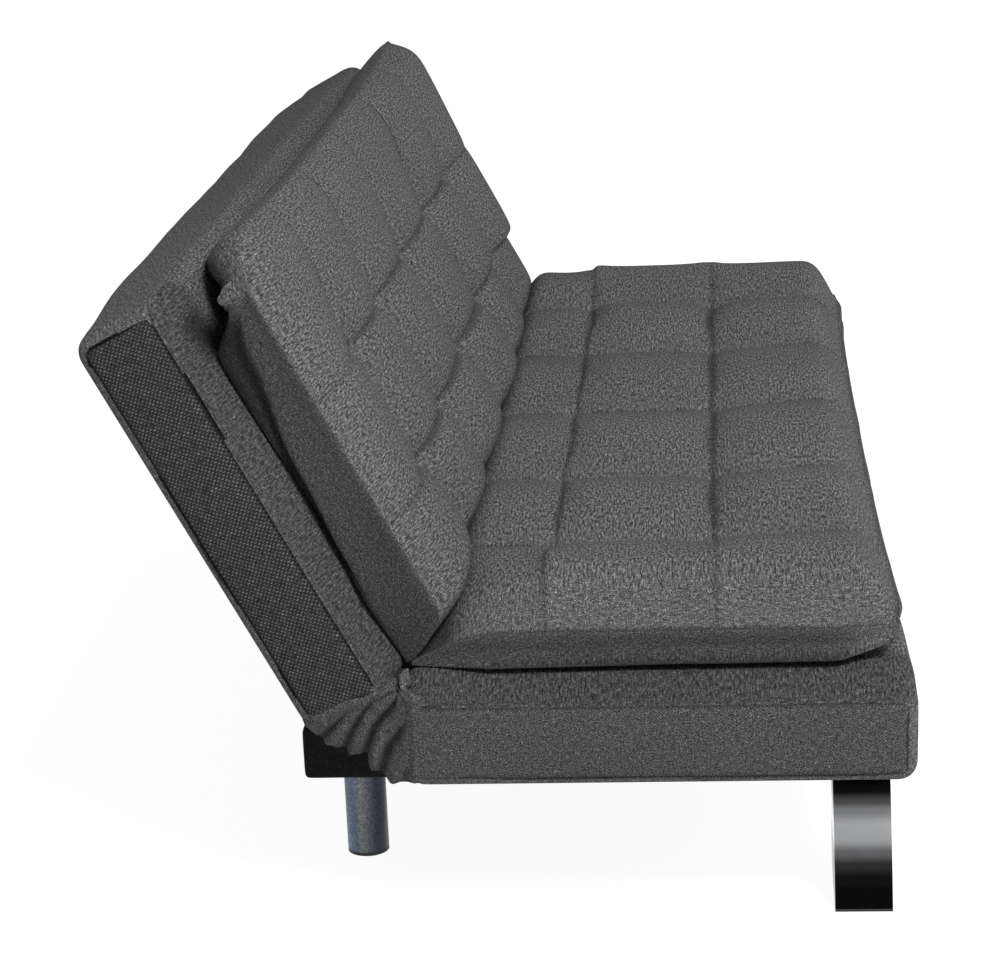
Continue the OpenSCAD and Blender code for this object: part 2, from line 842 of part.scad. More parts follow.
module beam_bolts() {
    under_board = beam_top - wrap_wall - board_wall;
    color(bright_steel) beam_bolt_places(under_board) {
        translate([0, 0, -bolt_head_wall]) cylinder(r = bolt_head_radius, h = bolt_head_wall);
        translate([0, 0, -bolt_head_wall / 2]) cylinder(r = stud_radius,
            h = bolt_head_wall / 2 + wrap_wall + board_wall + beam_bolt_rise);
    }
}

module front_leg_left() {
    color(bright_steel) at_end(-1) front_leg();
}

module front_leg_right() {
    color(bright_steel) at_end(1) front_leg();
}

module front_leg_pads() {
    color(rubber_black) both_ends() difference() {
        block([head_x - front_head, leg_front_y, head_z],
            [head_x, leg_front_y + front_leg_width, seat_clearance]);
        front_stud_places(head_z - overrun) cylinder(r = stud_radius + bolt_gap,
            h = front_pad + 2 * overrun);
    }
}

module front_leg_studs() {
    color(bright_steel) both_ends() front_stud_places(head_z - stud_bite)
        cylinder(r = stud_radius, h = stud_bite + front_pad + front_stud_rise);
}

module front_leg_glides() {
    color(rubber_black) both_ends()
        block([toe_x - toe_flat, leg_front_y, 0],
            [toe_x, leg_front_y + front_leg_width, glide_wall]);
}

module rear_leg_tube() {
    translate([0, 0, glide_wall]) difference() {
        cylinder(r = rear_leg_radius, h = beam_bottom - glide_wall);
        translate([0, 0, -overrun])
            cylinder(r = rear_leg_radius - rear_leg_wall, h = beam_bottom + 2 * overrun);
    }
}

module rear_leg_left() {
    color(leg_blue_grey) translate([-rear_leg_x, rear_leg_y, 0]) rear_leg_tube();
}

module rear_leg_right() {
    color(leg_blue_grey) translate([rear_leg_x, rear_leg_y, 0]) rear_leg_tube();
}

module rear_leg_inserts() {
    color(rubber_black) rear_leg_places(beam_bottom - insert_wall) difference() {
        cylinder(r = rear_leg_radius - rear_leg_wall - bolt_gap, h = insert_wall);
        translate([0, 0, -overrun]) cylinder(r = stud_radius + bolt_gap,
            h = insert_wall + 2 * overrun);
    }
}

module rear_leg_studs() {
    color(bright_steel) rear_leg_places(beam_bottom - insert_wall)
        cylinder(r = stud_radius, h = insert_wall + wrap_wall + board_wall);
}

module rear_leg_glides() {
    color(rubber_black) rear_leg_places(0) {
        cylinder(r = rear_leg_radius, h = glide_wall);
        cylinder(r = rear_leg_radius - rear_leg_wall - bolt_gap, h = glide_wall + insert_wall);
    }
}

// Hinges
module seat_hinge_arm_left() {
    color(plate_steel) at_end(-1) seat_side() seat_arm();
}

module seat_hinge_arm_right() {
    color(plate_steel) at_end(1) seat_side() seat_arm();
}

module seat_hinge_bolts() {
    color(bright_steel) seat_side() arm_bolt_set(seat_rail_x);
}

module pivot_pin_left() {
    color(bright_steel) at_end(-1) translate([0, hinge_y, hinge_z]) pivot_pin();
}

module pivot_pin_right() {
    color(bright_steel) at_end(1) translate([0, hinge_y, hinge_z]) pivot_pin();
}

module pawl_pins() {
    color(bright_steel) both_ends() translate([0, hinge_y, hinge_z]) pawl_pin();
}

module pawl_left() {
    color(plate_steel) at_end(-1) translate([0, hinge_y, hinge_z]) pawl();
}

module pawl_right() {
    color(plate_steel) at_end(1) translate([0, hinge_y, hinge_z]) pawl();
}

module hinge_gusset_left() {
    color(fabric_grey) at_end(-1) gusset();
}

module hinge_gusset_right() {
    color(fabric_grey) at_end(1) gusset();
}

// Back box
module back_bottom_rail() {
    color(pine) back_side() near_rail(back_thickness, back_rail_x);
}

module back_top_rail() {
    color(pine) back_side() far_rail(back_length, back_thickness, back_rail_x);
}

module back_left_end_rail() {
    color(pine) at_end(-1) back_side() end_rail(back_length, back_thickness, back_rail_x);
}

module back_right_end_rail() {
    color(pine) at_end(1) back_side() end_rail(back_length, back_thickness, back_rail_x);
}

module back_cross_rails() {
    color(pine) back_side() cross_rail_set(back_length, back_thickness, back_rail_x);
}

module back_corner_blocks() {
    color(pine) back_side() corner_block_set(back_length, back_thickness, back_rail_x);
}

module back_webbing() {
    color(cloth_black) back_side() strap_set(back_length, back_thickness, back_rail_x);
}

module back_foam() {
    color(foam_cream) back_side() foam_slab(back_length, back_thickness);
}

module back_edge_foam() {
    color(foam_cream) back_side() foam_surround(back_length, back_thickness, back_rail_x);
}

module back_hinge_wadding() {
    color("white") back_side() hinge_pad(back_thickness, back_rail_x);
}

module back_box_cover() {
    color(fabric_grey) back_side() box_cover(back_length, back_thickness);
}

module back_rear_panel() {
    color(fabric_grey) back_side() underside_panel(back_length, back_thickness);
}

module back_cushion() {
    color(fabric_grey) back_side()
        tufted_cushion(hinge_gap + back_length + top_overhang - cushion_start, back_crown,
            back_border, back_row_shares, back_column_shares);
}

module back_hinge_arm_left() {
    color(plate_steel) at_end(-1) back_side() back_arm();
}

module back_hinge_arm_right() {
    color(plate_steel) at_end(1) back_side() back_arm();
}

module back_hinge_bolts() {
    color(bright_steel) back_side() arm_bolt_set(back_rail_x);
}

seat_front_rail();
seat_rear_rail();
seat_left_end_rail();
seat_right_end_rail();
seat_cross_rails();
seat_corner_blocks();
seat_webbing();
seat_foam();
seat_edge_foam();
seat_hinge_wadding();
seat_box_cover();
seat_dust_cover();
seat_cushion();
beam_top_board();
beam_bottom_board();
beam_side_boards();
beam_end_blocks();
beam_wrap();
beam_bolts();
front_leg_left();
front_leg_right();
front_leg_pads();
front_leg_studs();
front_leg_glides();
rear_leg_left();
rear_leg_right();
rear_leg_inserts();
rear_leg_studs();
rear_leg_glides();
seat_hinge_arm_left();
seat_hinge_arm_right();
seat_hinge_bolts();
pivot_pin_left();
pivot_pin_right();
pawl_pins();
pawl_left();
pawl_right();
hinge_gusset_left();
hinge_gusset_right();
back_bottom_rail();
back_top_rail();
back_left_end_rail();
back_right_end_rail();
back_cross_rails();
back_corner_blocks();
back_webbing();
back_foam();
back_edge_foam();
back_hinge_wadding();
back_box_cover();
back_rear_panel();
back_cushion();
back_hinge_arm_left();
back_hinge_arm_right();
back_hinge_bolts();
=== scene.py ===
"""Click-clack sofa bed: its upholstery, tufted cushions, beam and legs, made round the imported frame."""

import json
import math

import bmesh
import bpy
from mathutils import Matrix, Vector, noise


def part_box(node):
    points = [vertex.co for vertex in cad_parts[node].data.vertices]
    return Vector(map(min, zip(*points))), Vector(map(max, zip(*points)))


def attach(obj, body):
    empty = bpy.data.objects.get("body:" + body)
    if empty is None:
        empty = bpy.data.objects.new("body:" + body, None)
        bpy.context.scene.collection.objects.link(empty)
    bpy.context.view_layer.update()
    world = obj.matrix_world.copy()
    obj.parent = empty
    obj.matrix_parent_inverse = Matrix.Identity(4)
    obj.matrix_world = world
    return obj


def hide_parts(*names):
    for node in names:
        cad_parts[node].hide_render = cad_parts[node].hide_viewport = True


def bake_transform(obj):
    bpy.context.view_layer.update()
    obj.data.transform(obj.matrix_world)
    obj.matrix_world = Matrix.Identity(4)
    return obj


bl_info = {
    "name": "Tufted Sofa Bed",
    "version": (1, 0, 0),
    "blender": (4, 5, 0),
    "location": "View3D > Sidebar > Sofa",
    "description": "Upholstery, tufted cushions, beam and legs of a folding sofa bed",
    "category": "Add Mesh",
}

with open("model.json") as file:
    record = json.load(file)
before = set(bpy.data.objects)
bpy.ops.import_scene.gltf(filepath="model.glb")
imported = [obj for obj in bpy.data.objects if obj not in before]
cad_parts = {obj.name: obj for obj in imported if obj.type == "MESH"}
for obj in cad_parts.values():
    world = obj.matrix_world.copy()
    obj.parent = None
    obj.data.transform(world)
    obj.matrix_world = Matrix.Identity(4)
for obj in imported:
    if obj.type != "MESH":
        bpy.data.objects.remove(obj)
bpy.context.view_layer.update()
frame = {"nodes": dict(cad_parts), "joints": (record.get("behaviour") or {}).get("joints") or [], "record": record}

# The hinge axis and the swing to the flat bed place both boxes
RECLINE = next(joint for joint in frame["joints"] if joint["name"] == "back_recline")
HINGE = Vector(RECLINE["pos_m"])
BACK_TURN = math.radians(RECLINE["range_deg"][1])
SEAT_PLACE = Matrix.Translation(HINGE) @ Matrix.Rotation(math.pi, 4, "Z")
BACK_PLACE = Matrix.Translation(HINGE) @ Matrix.Rotation(BACK_TURN, 4, "X")


# Sizes and colours a user may change

def length_setting(name, description, default, least=0.0):
    """A length in metres"""
    return bpy.props.FloatProperty(
        name=name, description=description, unit="LENGTH", min=least, default=default)


def strength_setting(name, description, default, least=0.0):
    """A value without a unit"""
    return bpy.props.FloatProperty(name=name, description=description, min=least, default=default)


def angle_setting(name, description, default):
    """An angle in radians"""
    return bpy.props.FloatProperty(name=name, description=description, subtype="ANGLE", default=default)


def colour_setting(name, description, default):
    """A colour"""
    return bpy.props.FloatVectorProperty(
        name=name, description=description, subtype="COLOR", size=3, min=0, max=1, default=default)


class ClothSettings(bpy.types.PropertyGroup):
    """Colours and weave of the upholstery"""
    dark: colour_setting("Dark yarn", "Colour of the dark yarn in the weave", (0.040, 0.040, 0.041))
    middle: colour_setting("Grey yarn", "Colour of the main yarn in the weave", (0.104, 0.105, 0.107))
    pale: colour_setting("Pale fleck", "Colour of the pale flecks in the weave", (0.245, 0.247, 0.250))
    yarn: length_setting("Yarn pitch", "Distance from one yarn to the next", 0.0011, 0.0005)
    twill_yarn: length_setting(
        "Twill yarn pitch", "Distance between yarns on the seat's end panels", 0.0015, 0.0005)
    rib_yarn: length_setting(
        "Rib yarn pitch", "Distance between yarns on the back's end panels", 0.0026, 0.0005)


class BoxSettings(bpy.types.PropertyGroup):
    """Sizes of the two upholstered boxes"""
    edge_round: length_setting("Edge rounding", "Radius of the box's long edges", 0.020, 0.005)
    panel_wall: length_setting("Panel thickness", "Thickness of the panel on the underside", 0.003, 0.001)
    seam_width: length_setting("Seam width", "Width of a seam's groove", 0.0045, 0.001)
    seam_depth: length_setting("Seam depth", "Depth of a seam's groove", 0.0016, 0.0005)
    slack: length_setting("Slack", "Height of the soft unevenness in the cover", 0.0022)
    end_swell: length_setting("End swell", "Swell of the end panels", 0.005)
    shoulder_drop: length_setting(
        "Shoulder drop", "How far the padded face slopes down at each end", 0.018)
    shoulder_reach: length_setting("Shoulder reach", "Length of that slope", 0.062, 0.01)
    # Strengths of the painted shade in the hollow beside the cushions and on the shoulders
    hollow_shade: strength_setting(
        "Hollow shade", "Darkening of the cloth in the hollow beside the cushions", 1.05)
    shoulder_shade: strength_setting("Shoulder shade", "Darkening of the cloth on the shoulders", 0.95)
    seat_swell: length_setting(
        "Seat front swell", "Swell of the seat box's front, negative where it draws in", -0.014, -0.1)
    back_swell: length_setting("Back top swell", "Swell of the back box's top", 0.0115)


class CushionSettings(bpy.types.PropertyGroup):
    """Filling of the tufted cushions"""
    pressure: strength_setting(
        "Fill pressure", "Pressure of the filling in the simulated cover", 7.0)
    swell_cap: length_setting(
        "Swell cap", "Furthest a point may swell in the simulation", 0.008, 0.001)


class LegSettings(bpy.types.PropertyGroup):
    """Finish of the beam and legs"""
    edge: length_setting("Leg edge", "Rounding of the metal legs' edges", 0.0012, 0.0002)
    beam_edge: length_setting("Beam edge", "Rounding of the cloth-covered beam", 0.0068, 0.001)
    leg_paint: colour_setting("Leg paint", "Colour of the round legs", (0.10, 0.108, 0.128))
    # Tint of the curved legs' chrome, whose dark ends and bright band are painted reflections
    chrome: colour_setting("Smoked chrome", "Colour of the curved legs", (0.97, 0.98, 1.0))


class StageSettings(bpy.types.PropertyGroup):
    """Camera"""
    lens: strength_setting("Lens", "Focal length in millimetres", 101.92, 10)
    heading: angle_setting("Heading", "Camera's turn from the sofa's length", 0.0817)
    tilt: angle_setting("Tilt", "Camera's downward tilt", 0.281)
    roll: angle_setting("Roll", "Camera's roll", -0.0422)
    place: bpy.props.FloatVectorProperty(
        name="Camera place", description="Where the camera stands",
        subtype="TRANSLATION", unit="LENGTH", size=3, default=(-3.525, -0.2216, 1.273))


def chosen(group):
    """The user's settings of one kind, such as cloth or legs"""
    return getattr(bpy.context.scene, f"sofa_{group}")


# Layouts of the cushions and the web

class CushionLayout:
    """Seams and edges of one cushion, as shares of its half length and depth, and lengths in metres

    rows and columns place the seams that run across and along, and levels lifts each column. far_end is
    the side of the sofa's right end, where far_rise and far_levels lift the columns and far_round makes
    the corner tighter. lift and skirt shape the fold at the foot of the border, and strip the border.
    rim_mark, strip_shade and contact darken the rim, the border and the line where the cushions meet; the rim's
    line is partly its seam's stitching and partly painted shade, the rest is painted shade.
    """

    def __init__(self, **values):
        self.__dict__.update(values)


SEAT_LAYOUT = CushionLayout(
    rows=(-1, -0.72, -0.39, 0, 0.39, 0.72, 1), columns=(0, 0.275, 0.625, 1),
    levels=(-0.012, -0.003, 0), far_levels=(1, 1, 1), column_depth=0.62, corner_tuck=0, corner_radius=0,
    border=0.034, seam_height=0.058, tie=0.010, taper=0.062, end_taper=0.100,
    draw_end=0.006, draw_side=0.012, far_round=1,
    side_reach=0.009, round_x=0.014, round_y=0.010, end_fade=0.86, far_fade=0.35, seed=3.0,
    far_end=-1, far_rise=0.016, rim_mark=1.15, strip_shade=0.9, contact=1.5,
    lift=((0, 0.001), (0.3, 0.003), (0.6, 0.006), (0.88, 0.009), (1, 0.026)),
    skirt=((0, 0), (1, 0)),
    strip=(-0.02, -0.012, -0.010, -0.005, -0.001, 0.0015, 0.002, 0.001))
BACK_LAYOUT = CushionLayout(
    rows=(-1, -0.67, -0.36, 0, 0.36, 0.67, 1), columns=(0, 0.285, 0.595, 1),
    levels=(0.010, 0, 0), far_levels=(-0.7, 1, 1), column_depth=0.5, corner_tuck=1, corner_radius=0.055,
    border=0.058, seam_height=0.055, tie=0.010, taper=0.056, end_taper=0.036,
    draw_end=0.004, draw_side=0.018, far_round=0.25,
    side_reach=0, round_x=0.004, round_y=0.026, end_fade=0.8, far_fade=0.75, seed=7.0,
    far_end=1, far_rise=0.016, rim_mark=0.9, strip_shade=1.15, contact=0,
    lift=((0.1, 0.001), (0.28, 0.005), (0.5, 0.011), (0.76, 0.030), (0.86, 0.044), (0.97, 0.034)),
    skirt=((0.12, 0), (0.4, 0.008), (0.76, 0.016), (0.80, 0.012), (0.825, 0)),
    strip=(-0.02, -0.012, -0.016, -0.011, -0.006, -0.002, 0.0005, 0.001))
# Radius of the web's hem round the pivot, from the seat's side to the back's
WEB_HEM = ((0, 0.098), (0.12, 0.100), (0.24, 0.102), (0.36, 0.094), (0.48, 0.083), (0.6, 0.089),
           (0.8, 0.099), (1, 0.103))


# Shader helpers

class Shading:
    """Adds nodes to one tree and links them"""

    def __init__(self, tree):
        self.tree = tree

    def add(self, kind, **values):
        """A new node with its own options"""
        node = self.tree.nodes.new(f"ShaderNode{kind}")
        for name, value in values.items():
            setattr(node, name, value)
        return node

    def feed(self, socket, value):
        """Links a socket to another one, or gives it a number or a colour"""
        if isinstance(value, bpy.types.NodeSocket):
            self.tree.links.new(value, socket)
        elif socket.type == "RGBA":
            socket.default_value = (*value[:3], 1)
        else:
            socket.default_value = value

    def feed_all(self, node, **values):
        """Feeds the named sockets of a node"""
        for name, value in values.items():
            self.feed(node.inputs[name.replace("_", " ")], value)
        return node

    def math(self, operation, *values):
        """The result of a sum on numbers and sockets"""
        node = self.add("Math", operation=operation)
        for socket, value in zip(node.inputs, values):
            self.feed(socket, value)
        return node.outputs[0]

    def plus(self, first, second):
        """Sum"""
        return self.math("ADD", first, second)

    def minus(self, first, second):
        """Difference"""
        return self.math("SUBTRACT", first, second)

    def times(self, first, second):
        """Product"""
        return self.math("MULTIPLY", first, second)

    def scaled(self, vector, factor):
        """A colour or a place, each part times the same factor"""
        node = self.add("VectorMath", operation="SCALE")
        self.feed(node.inputs[0], vector)
        return self.feed_all(node, Scale=factor).outputs[0]

    def split(self, vector):
        """The three parts of a place"""
        node = self.add("SeparateXYZ")
        self.feed(node.inputs[0], vector)
        return node.outputs

    def ranged(self, value, start, end, low=0, high=1, **options):
        """A value between start and end, moved to lie between low and high"""
        node = self.add("MapRange", **options)
        self.feed_all(node, Value=value, From_Min=start, From_Max=end, To_Min=low, To_Max=high)
        return node.outputs["Result"]

    def mix(self, share, first, second, kind="Float"):
        """A mix of two numbers, or of two colours where kind is Color"""
        node = self.add("Mix", data_type={"Float": "FLOAT", "Color": "RGBA"}[kind])
        sockets = {socket.identifier: socket for socket in node.inputs}
        for name, value in (("Factor_Float", share), (f"A_{kind}", first), (f"B_{kind}", second)):
            self.feed(sockets[name], value)
        return next(socket for socket in node.outputs if socket.identifier == f"Result_{kind}")

    def noise(self, vector, scale, detail=2.0, rough=0.5, stretch=(1, 1, 1)):
        """Cloudy grain, drawn out along an axis whose stretch is below 1"""
        mapping = self.feed_all(self.add("Mapping"), Vector=vector, Scale=stretch)
        node = self.feed_all(self.add("TexNoise"), Scale=scale, Detail=detail, Roughness=rough)
        self.feed_all(node, Vector=mapping.outputs[0])
        return node.outputs["Fac"]

    def ramp(self, value, stops, interpolation="LINEAR"):
        """A colour that changes from stop to stop as the value grows"""
        node = self.feed_all(self.add("ValToRGB"), Fac=value)
        line = node.color_ramp
        line.interpolation = interpolation
        for element, (spot, colour) in zip(line.elements, (stops[0], stops[-1])):
            element.position = spot
            element.color = (*colour, 1)
        for spot, colour in stops[1:-1]:
            line.elements.new(spot).color = (*colour, 1)
        return node.outputs["Color"]

    def group(self, tree, **values):
        """Places a node group, and returns what it puts out"""
        return self.feed_all(self.add("Group", node_tree=tree), **values).outputs

    def end_with(self, output, share, first, second):
        """Sends a mix of two shaders to the output"""
        mix = self.add("MixShader")
        for socket, value in zip(mix.inputs, (share, first, second)):
            self.feed(socket, value)
        self.feed(self.tree.nodes[output].inputs["Surface"], mix.outputs[0])


class Finish(Shading):
    """A new material, with its main shader and the places on the piece"""

    def __init__(self, name):
        self.material = bpy.data.materials.new(name)
        self.material.use_nodes = True
        super().__init__(self.material.node_tree)
        self.shader = self.tree.nodes["Principled BSDF"]
        where = self.add("TexCoord")
        self.place = where.outputs["Object"]
        self.laid = where.outputs["UV"]

    def attribute(self, name):
        """A value that the mesh carries at each point"""
        return self.add("Attribute", attribute_name=name).outputs["Fac"]

    def give(self, **values):
        """Feeds the main shader"""
        self.feed_all(self.shader, **values)

    def bump(self, height, distance, strength):
        """Relief that the mesh doesn't have"""
        bump = self.feed_all(self.add("Bump"), Distance=distance, Strength=strength, Height=height)
        self.give(Normal=bump.outputs["Normal"])


def new_group(name, inputs, outputs):
    """A node group with its inputs' own values, and with both its ends"""
    tree = bpy.data.node_groups.new(name, "ShaderNodeTree")
    for label, value in inputs.items():
        kind = "Vector" if value is None else "Color" if isinstance(value, tuple) else "Float"
        socket = tree.interface.new_socket(label, in_out="INPUT", socket_type=f"NodeSocket{kind}")
        if value is not None:
            socket.default_value = value
    for label, kind in outputs.items():
        tree.interface.new_socket(label, in_out="OUTPUT", socket_type=f"NodeSocket{kind}")
    source = tree.nodes.new("NodeGroupInput").outputs
    result = tree.nodes.new("NodeGroupOutput").inputs
    return Shading(tree), source, result


def weave_group():
    """Plain weave or twill of heathered yarns, laid on a vector in metres"""
    if "Heathered Weave" in bpy.data.node_groups:
        return bpy.data.node_groups["Heathered Weave"]
    weave, source, result = new_group(
        "Heathered Weave",
        {"Vector": None, "Yarn": 0.0013, "Heather": 1.0, "Grain": 3.2, "Along": 0.0, "Twill": 0.0,
         "Contrast": 0.0, "Dark": (0.03, 0.03, 0.03, 1), "Middle": (0.09, 0.09, 0.1, 1),
         "Pale": (0.2, 0.2, 0.2, 1)},
        {"Color": "Color", "Height": "Float"})
    yarns = weave.scaled(source["Vector"], weave.math("DIVIDE", math.pi, source["Yarn"]))
    place = weave.split(yarns)
    across = weave.math("SINE", place["X"])
    along = weave.math("SINE", place["Y"])
    # Which yarn lies on top alternates at each crossing
    crossing = weave.math("GREATER_THAN", weave.times(across, along), 0)
    over = weave.times(crossing, weave.math("ABSOLUTE", across))
    under = weave.times(weave.minus(1, crossing), weave.math("ABSOLUTE", along))
    ridge = weave.math("SINE", weave.plus(place["X"], place["Y"]))
    ridge = weave.math("MULTIPLY_ADD", ridge, 0.5, 0.5)
    height = weave.mix(source["Twill"], weave.plus(over, under), ridge)
    # Each yarn's own shade runs along it, so the streaks are long one way and short the other
    warp_shade = weave.noise(yarns, 0.42, 1.5, 0.6, (1.0, 0.16, 1.0))
    weft_shade = weave.noise(yarns, 0.42, 1.5, 0.6, (0.16, 1.0, 1.0))
    clumps = weave.noise(yarns, 0.11, 2.0, 0.6)
    shade = weave.mix(crossing, weft_shade, warp_shade)
    shade = weave.plus(shade, weave.times(weave.minus(clumps, 0.5), 0.6))
    shade = weave.plus(weave.times(weave.minus(shade, 0.5), source["Heather"]), 0.5)
    main_share = weave.ranged(shade, 0.28, 0.52, interpolation_type="SMOOTHSTEP")
    pale_share = weave.ranged(shade, 0.55, 0.78, interpolation_type="SMOOTHSTEP")
    colour = weave.mix(main_share, source["Dark"], source["Middle"], "Color")
    colour = weave.mix(pale_share, colour, source["Pale"], "Color")
    # Slubs lighten and darken spots a few yarns wide
    short = weave.minus(weave.noise(yarns, 0.30, 1.0, 0.5), 0.5)
    long = weave.minus(weave.noise(yarns, 0.16, 1.0, 0.5, (0.3, 1, 1)), 0.5)
    spread = weave.plus(weave.times(weave.times(long, source["Along"]), 1.5), short)
    slub = weave.math("MULTIPLY_ADD", spread, source["Grain"], 1)
    slub = weave.math("MINIMUM", weave.math("MAXIMUM", slub, 0.25), 2.2)
    # Warp yarns that lie on top can be paler than the rest
    paler = weave.times(weave.minus(over, 0.35), source["Contrast"])
    slub = weave.times(slub, weave.plus(paler, 1))
    # The gaps between yarns are darker than the yarns
    gap = weave.ranged(height, 0.1, 0.75, 0.45, 1.08)
    weave.feed(result["Color"], weave.scaled(colour, weave.times(gap, slub)))
    weave.feed(result["Height"], height)
    return weave.tree


def wear_group():
    """Slow drift of a finish over a piece, from dust, rubbing and folding"""
    if "Soft Wear" in bpy.data.node_groups:
        return bpy.data.node_groups["Soft Wear"]
    wear, source, result = new_group(
        "Soft Wear", {"Vector": None, "Scale": 6.0, "Amount": 0.1}, {"Factor": "Float"})
    drift = wear.minus(wear.noise(source["Vector"], source["Scale"], 4), 0.5)
    wear.feed(result["Factor"], wear.plus(wear.times(drift, source["Amount"]), 1))
    return wear.tree


# Materials

# Each cloth's name and yarn, then its heathering, grain, length of grain, twill, contrast and tone; the end
# cloths' low tones are partly their darker weave and partly painted shade on the box ends
CLOTHS = {
    "heather": ("Charcoal Heather Weave", "yarn", 1.15, 4.6, 1.1, 0.0, 0.0, 1.12),
    "twill": ("Charcoal Twill End", "twill_yarn", 0.9, 4.0, 0.0, 0.8, 0.0, 0.77),
    "rib": ("Charcoal Rib End", "rib_yarn", 0.8, 1.5, 0.0, 0.0, 1.4, 0.41),
    "panel": ("Charcoal Rear Panel", "yarn", 1.15, 4.6, 1.1, 0.0, 0.0, 1.0),
}
# How much the seam layer darkens the cloth; that layer holds the seams' own dark lines and painted shade
SEAM_AND_SHADE_DARKENING = 0.55
LOW_ANGLE_DARKENING = 0.48


def upholstery(kind="heather"):
    """The sofa's cloth: heathered on the faces, twilled on the seat's ends and ribbed on the back's"""
    name, yarn, heather, grain, along, twill, contrast, tone = CLOTHS[kind]
    if name in bpy.data.materials:
        return bpy.data.materials[name]
    cloth = chosen("cloth")
    finish = Finish(name)
    laid = finish.laid
    if kind == "panel":
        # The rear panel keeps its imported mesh, so its pattern is turned to lie along it
        turned = finish.feed_all(finish.add("Mapping"), Vector=finish.place, Rotation=(-BACK_TURN, 0, 0))
        laid = turned.outputs[0]
    along = finish.times(finish.minus(1, finish.attribute("facing_end")), along)
    weave = finish.group(
        weave_group(), Vector=laid, Yarn=getattr(cloth, yarn), Heather=heather,
        Grain=grain, Along=along, Twill=twill, Contrast=contrast,
        Dark=cloth.dark, Middle=cloth.middle, Pale=cloth.pale)
    drift = finish.group(wear_group(), Vector=finish.place, Scale=5.0, Amount=0.28)["Factor"]
    shade = finish.times(drift, tone)
    # The seam layer's darkening: the seams' own dark lines, and painted shade in hollows, folds and on the
    # cushions' borders
    shade = finish.minus(shade, finish.times(finish.attribute("seam"), SEAM_AND_SHADE_DARKENING))
    # Seen at a low angle, the shadows between the yarns close up
    facing = finish.feed_all(finish.add("LayerWeight"), Blend=0.5).outputs["Facing"]
    closing = finish.times(finish.math("POWER", facing, 4), LOW_ANGLE_DARKENING)
    shade = finish.times(shade, finish.minus(1.085, closing))
    finish.give(
        Base_Color=finish.scaled(weave["Color"], shade), Roughness=0.92, Specular_IOR_Level=0.15,
        Sheen_Weight=0.06, Sheen_Roughness=0.45, Sheen_Tint=(0.8, 0.81, 0.82))
    crinkle = finish.noise(finish.place, 70, 3, 0.55)
    finish.bump(finish.plus(weave["Height"], finish.times(crinkle, 1.6)), 0.0005, 0.8)
    return finish.material


def black_cloth():
    """Thin black cloth on the beam and under the seat"""
    if "Black Lining Cloth" in bpy.data.materials:
        return bpy.data.materials["Black Lining Cloth"]
    finish = Finish("Black Lining Cloth")
    weave = finish.group(
        weave_group(), Vector=finish.place, Yarn=0.0016, Heather=0.7,
        Dark=(0.002, 0.002, 0.002), Middle=(0.006, 0.006, 0.0062), Pale=(0.045, 0.045, 0.046))
    finish.give(Base_Color=weave["Color"], Roughness=0.9, Specular_IOR_Level=0.2)
    finish.bump(weave["Height"], 0.0004, 0.7)
    return finish.material


def leg_paint():
    """Metallic paint of the round legs, with painted reflections in streaks round the tube"""
    if "Blue Grey Metallic Paint" in bpy.data.materials:
        return bpy.data.materials["Blue Grey Metallic Paint"]
    finish = Finish("Blue Grey Metallic Paint")
    flakes = finish.feed_all(finish.add("TexVoronoi"), Scale=900, Vector=finish.place)
    sparkle = finish.ranged(flakes.outputs["Color"], 0, 1, 0.35, 1.75)
    low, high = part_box("rear_leg_left")
    share = finish.ranged(finish.split(finish.place)["Y"], low[1], high[1])
    # Painted reflections run in streaks round the tube, from the dark one in front to the blue one behind, as
    # shares of the paint's colour
    paint = chosen("legs").leg_paint
    painted_reflections = ((0, 0.2, 0.22, 0.25), (0.25, 0.30, 0.34, 0.42), (0.40, 0.75, 0.75, 0.75),
               (0.58, 1.35, 1.28, 1.1), (0.72, 0.85, 0.95, 1.1), (0.88, 0.9, 1.1, 1.45),
               (1, 0.5, 0.7, 1.0))
    stops = [(spot, [part * tint for part, tint in zip(paint, tints)]) for spot, *tints in painted_reflections]
    scuffs = finish.noise(finish.place, 40, 4, 0.6, (1, 1, 0.2))
    finish.give(
        Base_Color=finish.scaled(finish.ramp(share, stops), sparkle), Metallic=0.85,
        Roughness=finish.ranged(scuffs, 0.3, 0.8, 0.3, 0.44), Coat_Weight=0.08, Coat_Roughness=0.2)
    return finish.material


def smoked_chrome():
    """Chrome of the curved legs, with painted reflections: dark ends and the bright band that the curve would
    mirror
    """
    if "Smoked Chrome" in bpy.data.materials:
        return bpy.data.materials["Smoked Chrome"]
    finish = Finish("Smoked Chrome")
    low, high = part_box("front_leg_left")
    share = finish.ranged(finish.split(finish.place)["Z"], low[2], high[2])
    chrome = chosen("legs").chrome
    # Painted reflections down the leg: dark ends and the bright band the curve would mirror, as shares of the
    # chrome's colour
    reflection_bands = ((0.205, 0.009), (0.30, 0.063), (0.38, 0.30), (0.47, 0.91), (0.56, 1.0),
             (0.66, 0.52), (0.712, 0.18), (0.78, 0.012), (0.93, 0.006))
    stops = [(spot, [part * strength for part in chrome]) for spot, strength in reflection_bands]
    stops = [(0.12, (0.003, 0.003, 0.003)), *stops, (0.975, (0.004, 0.004, 0.004))]
    smudge = finish.noise(finish.place, 30, 4, 0.6)
    finish.give(Base_Color=finish.ramp(share, stops, "EASE"), Metallic=1.0,
                Roughness=finish.ranged(smudge, 0.3, 0.8, 0.14, 0.26))
    return finish.material


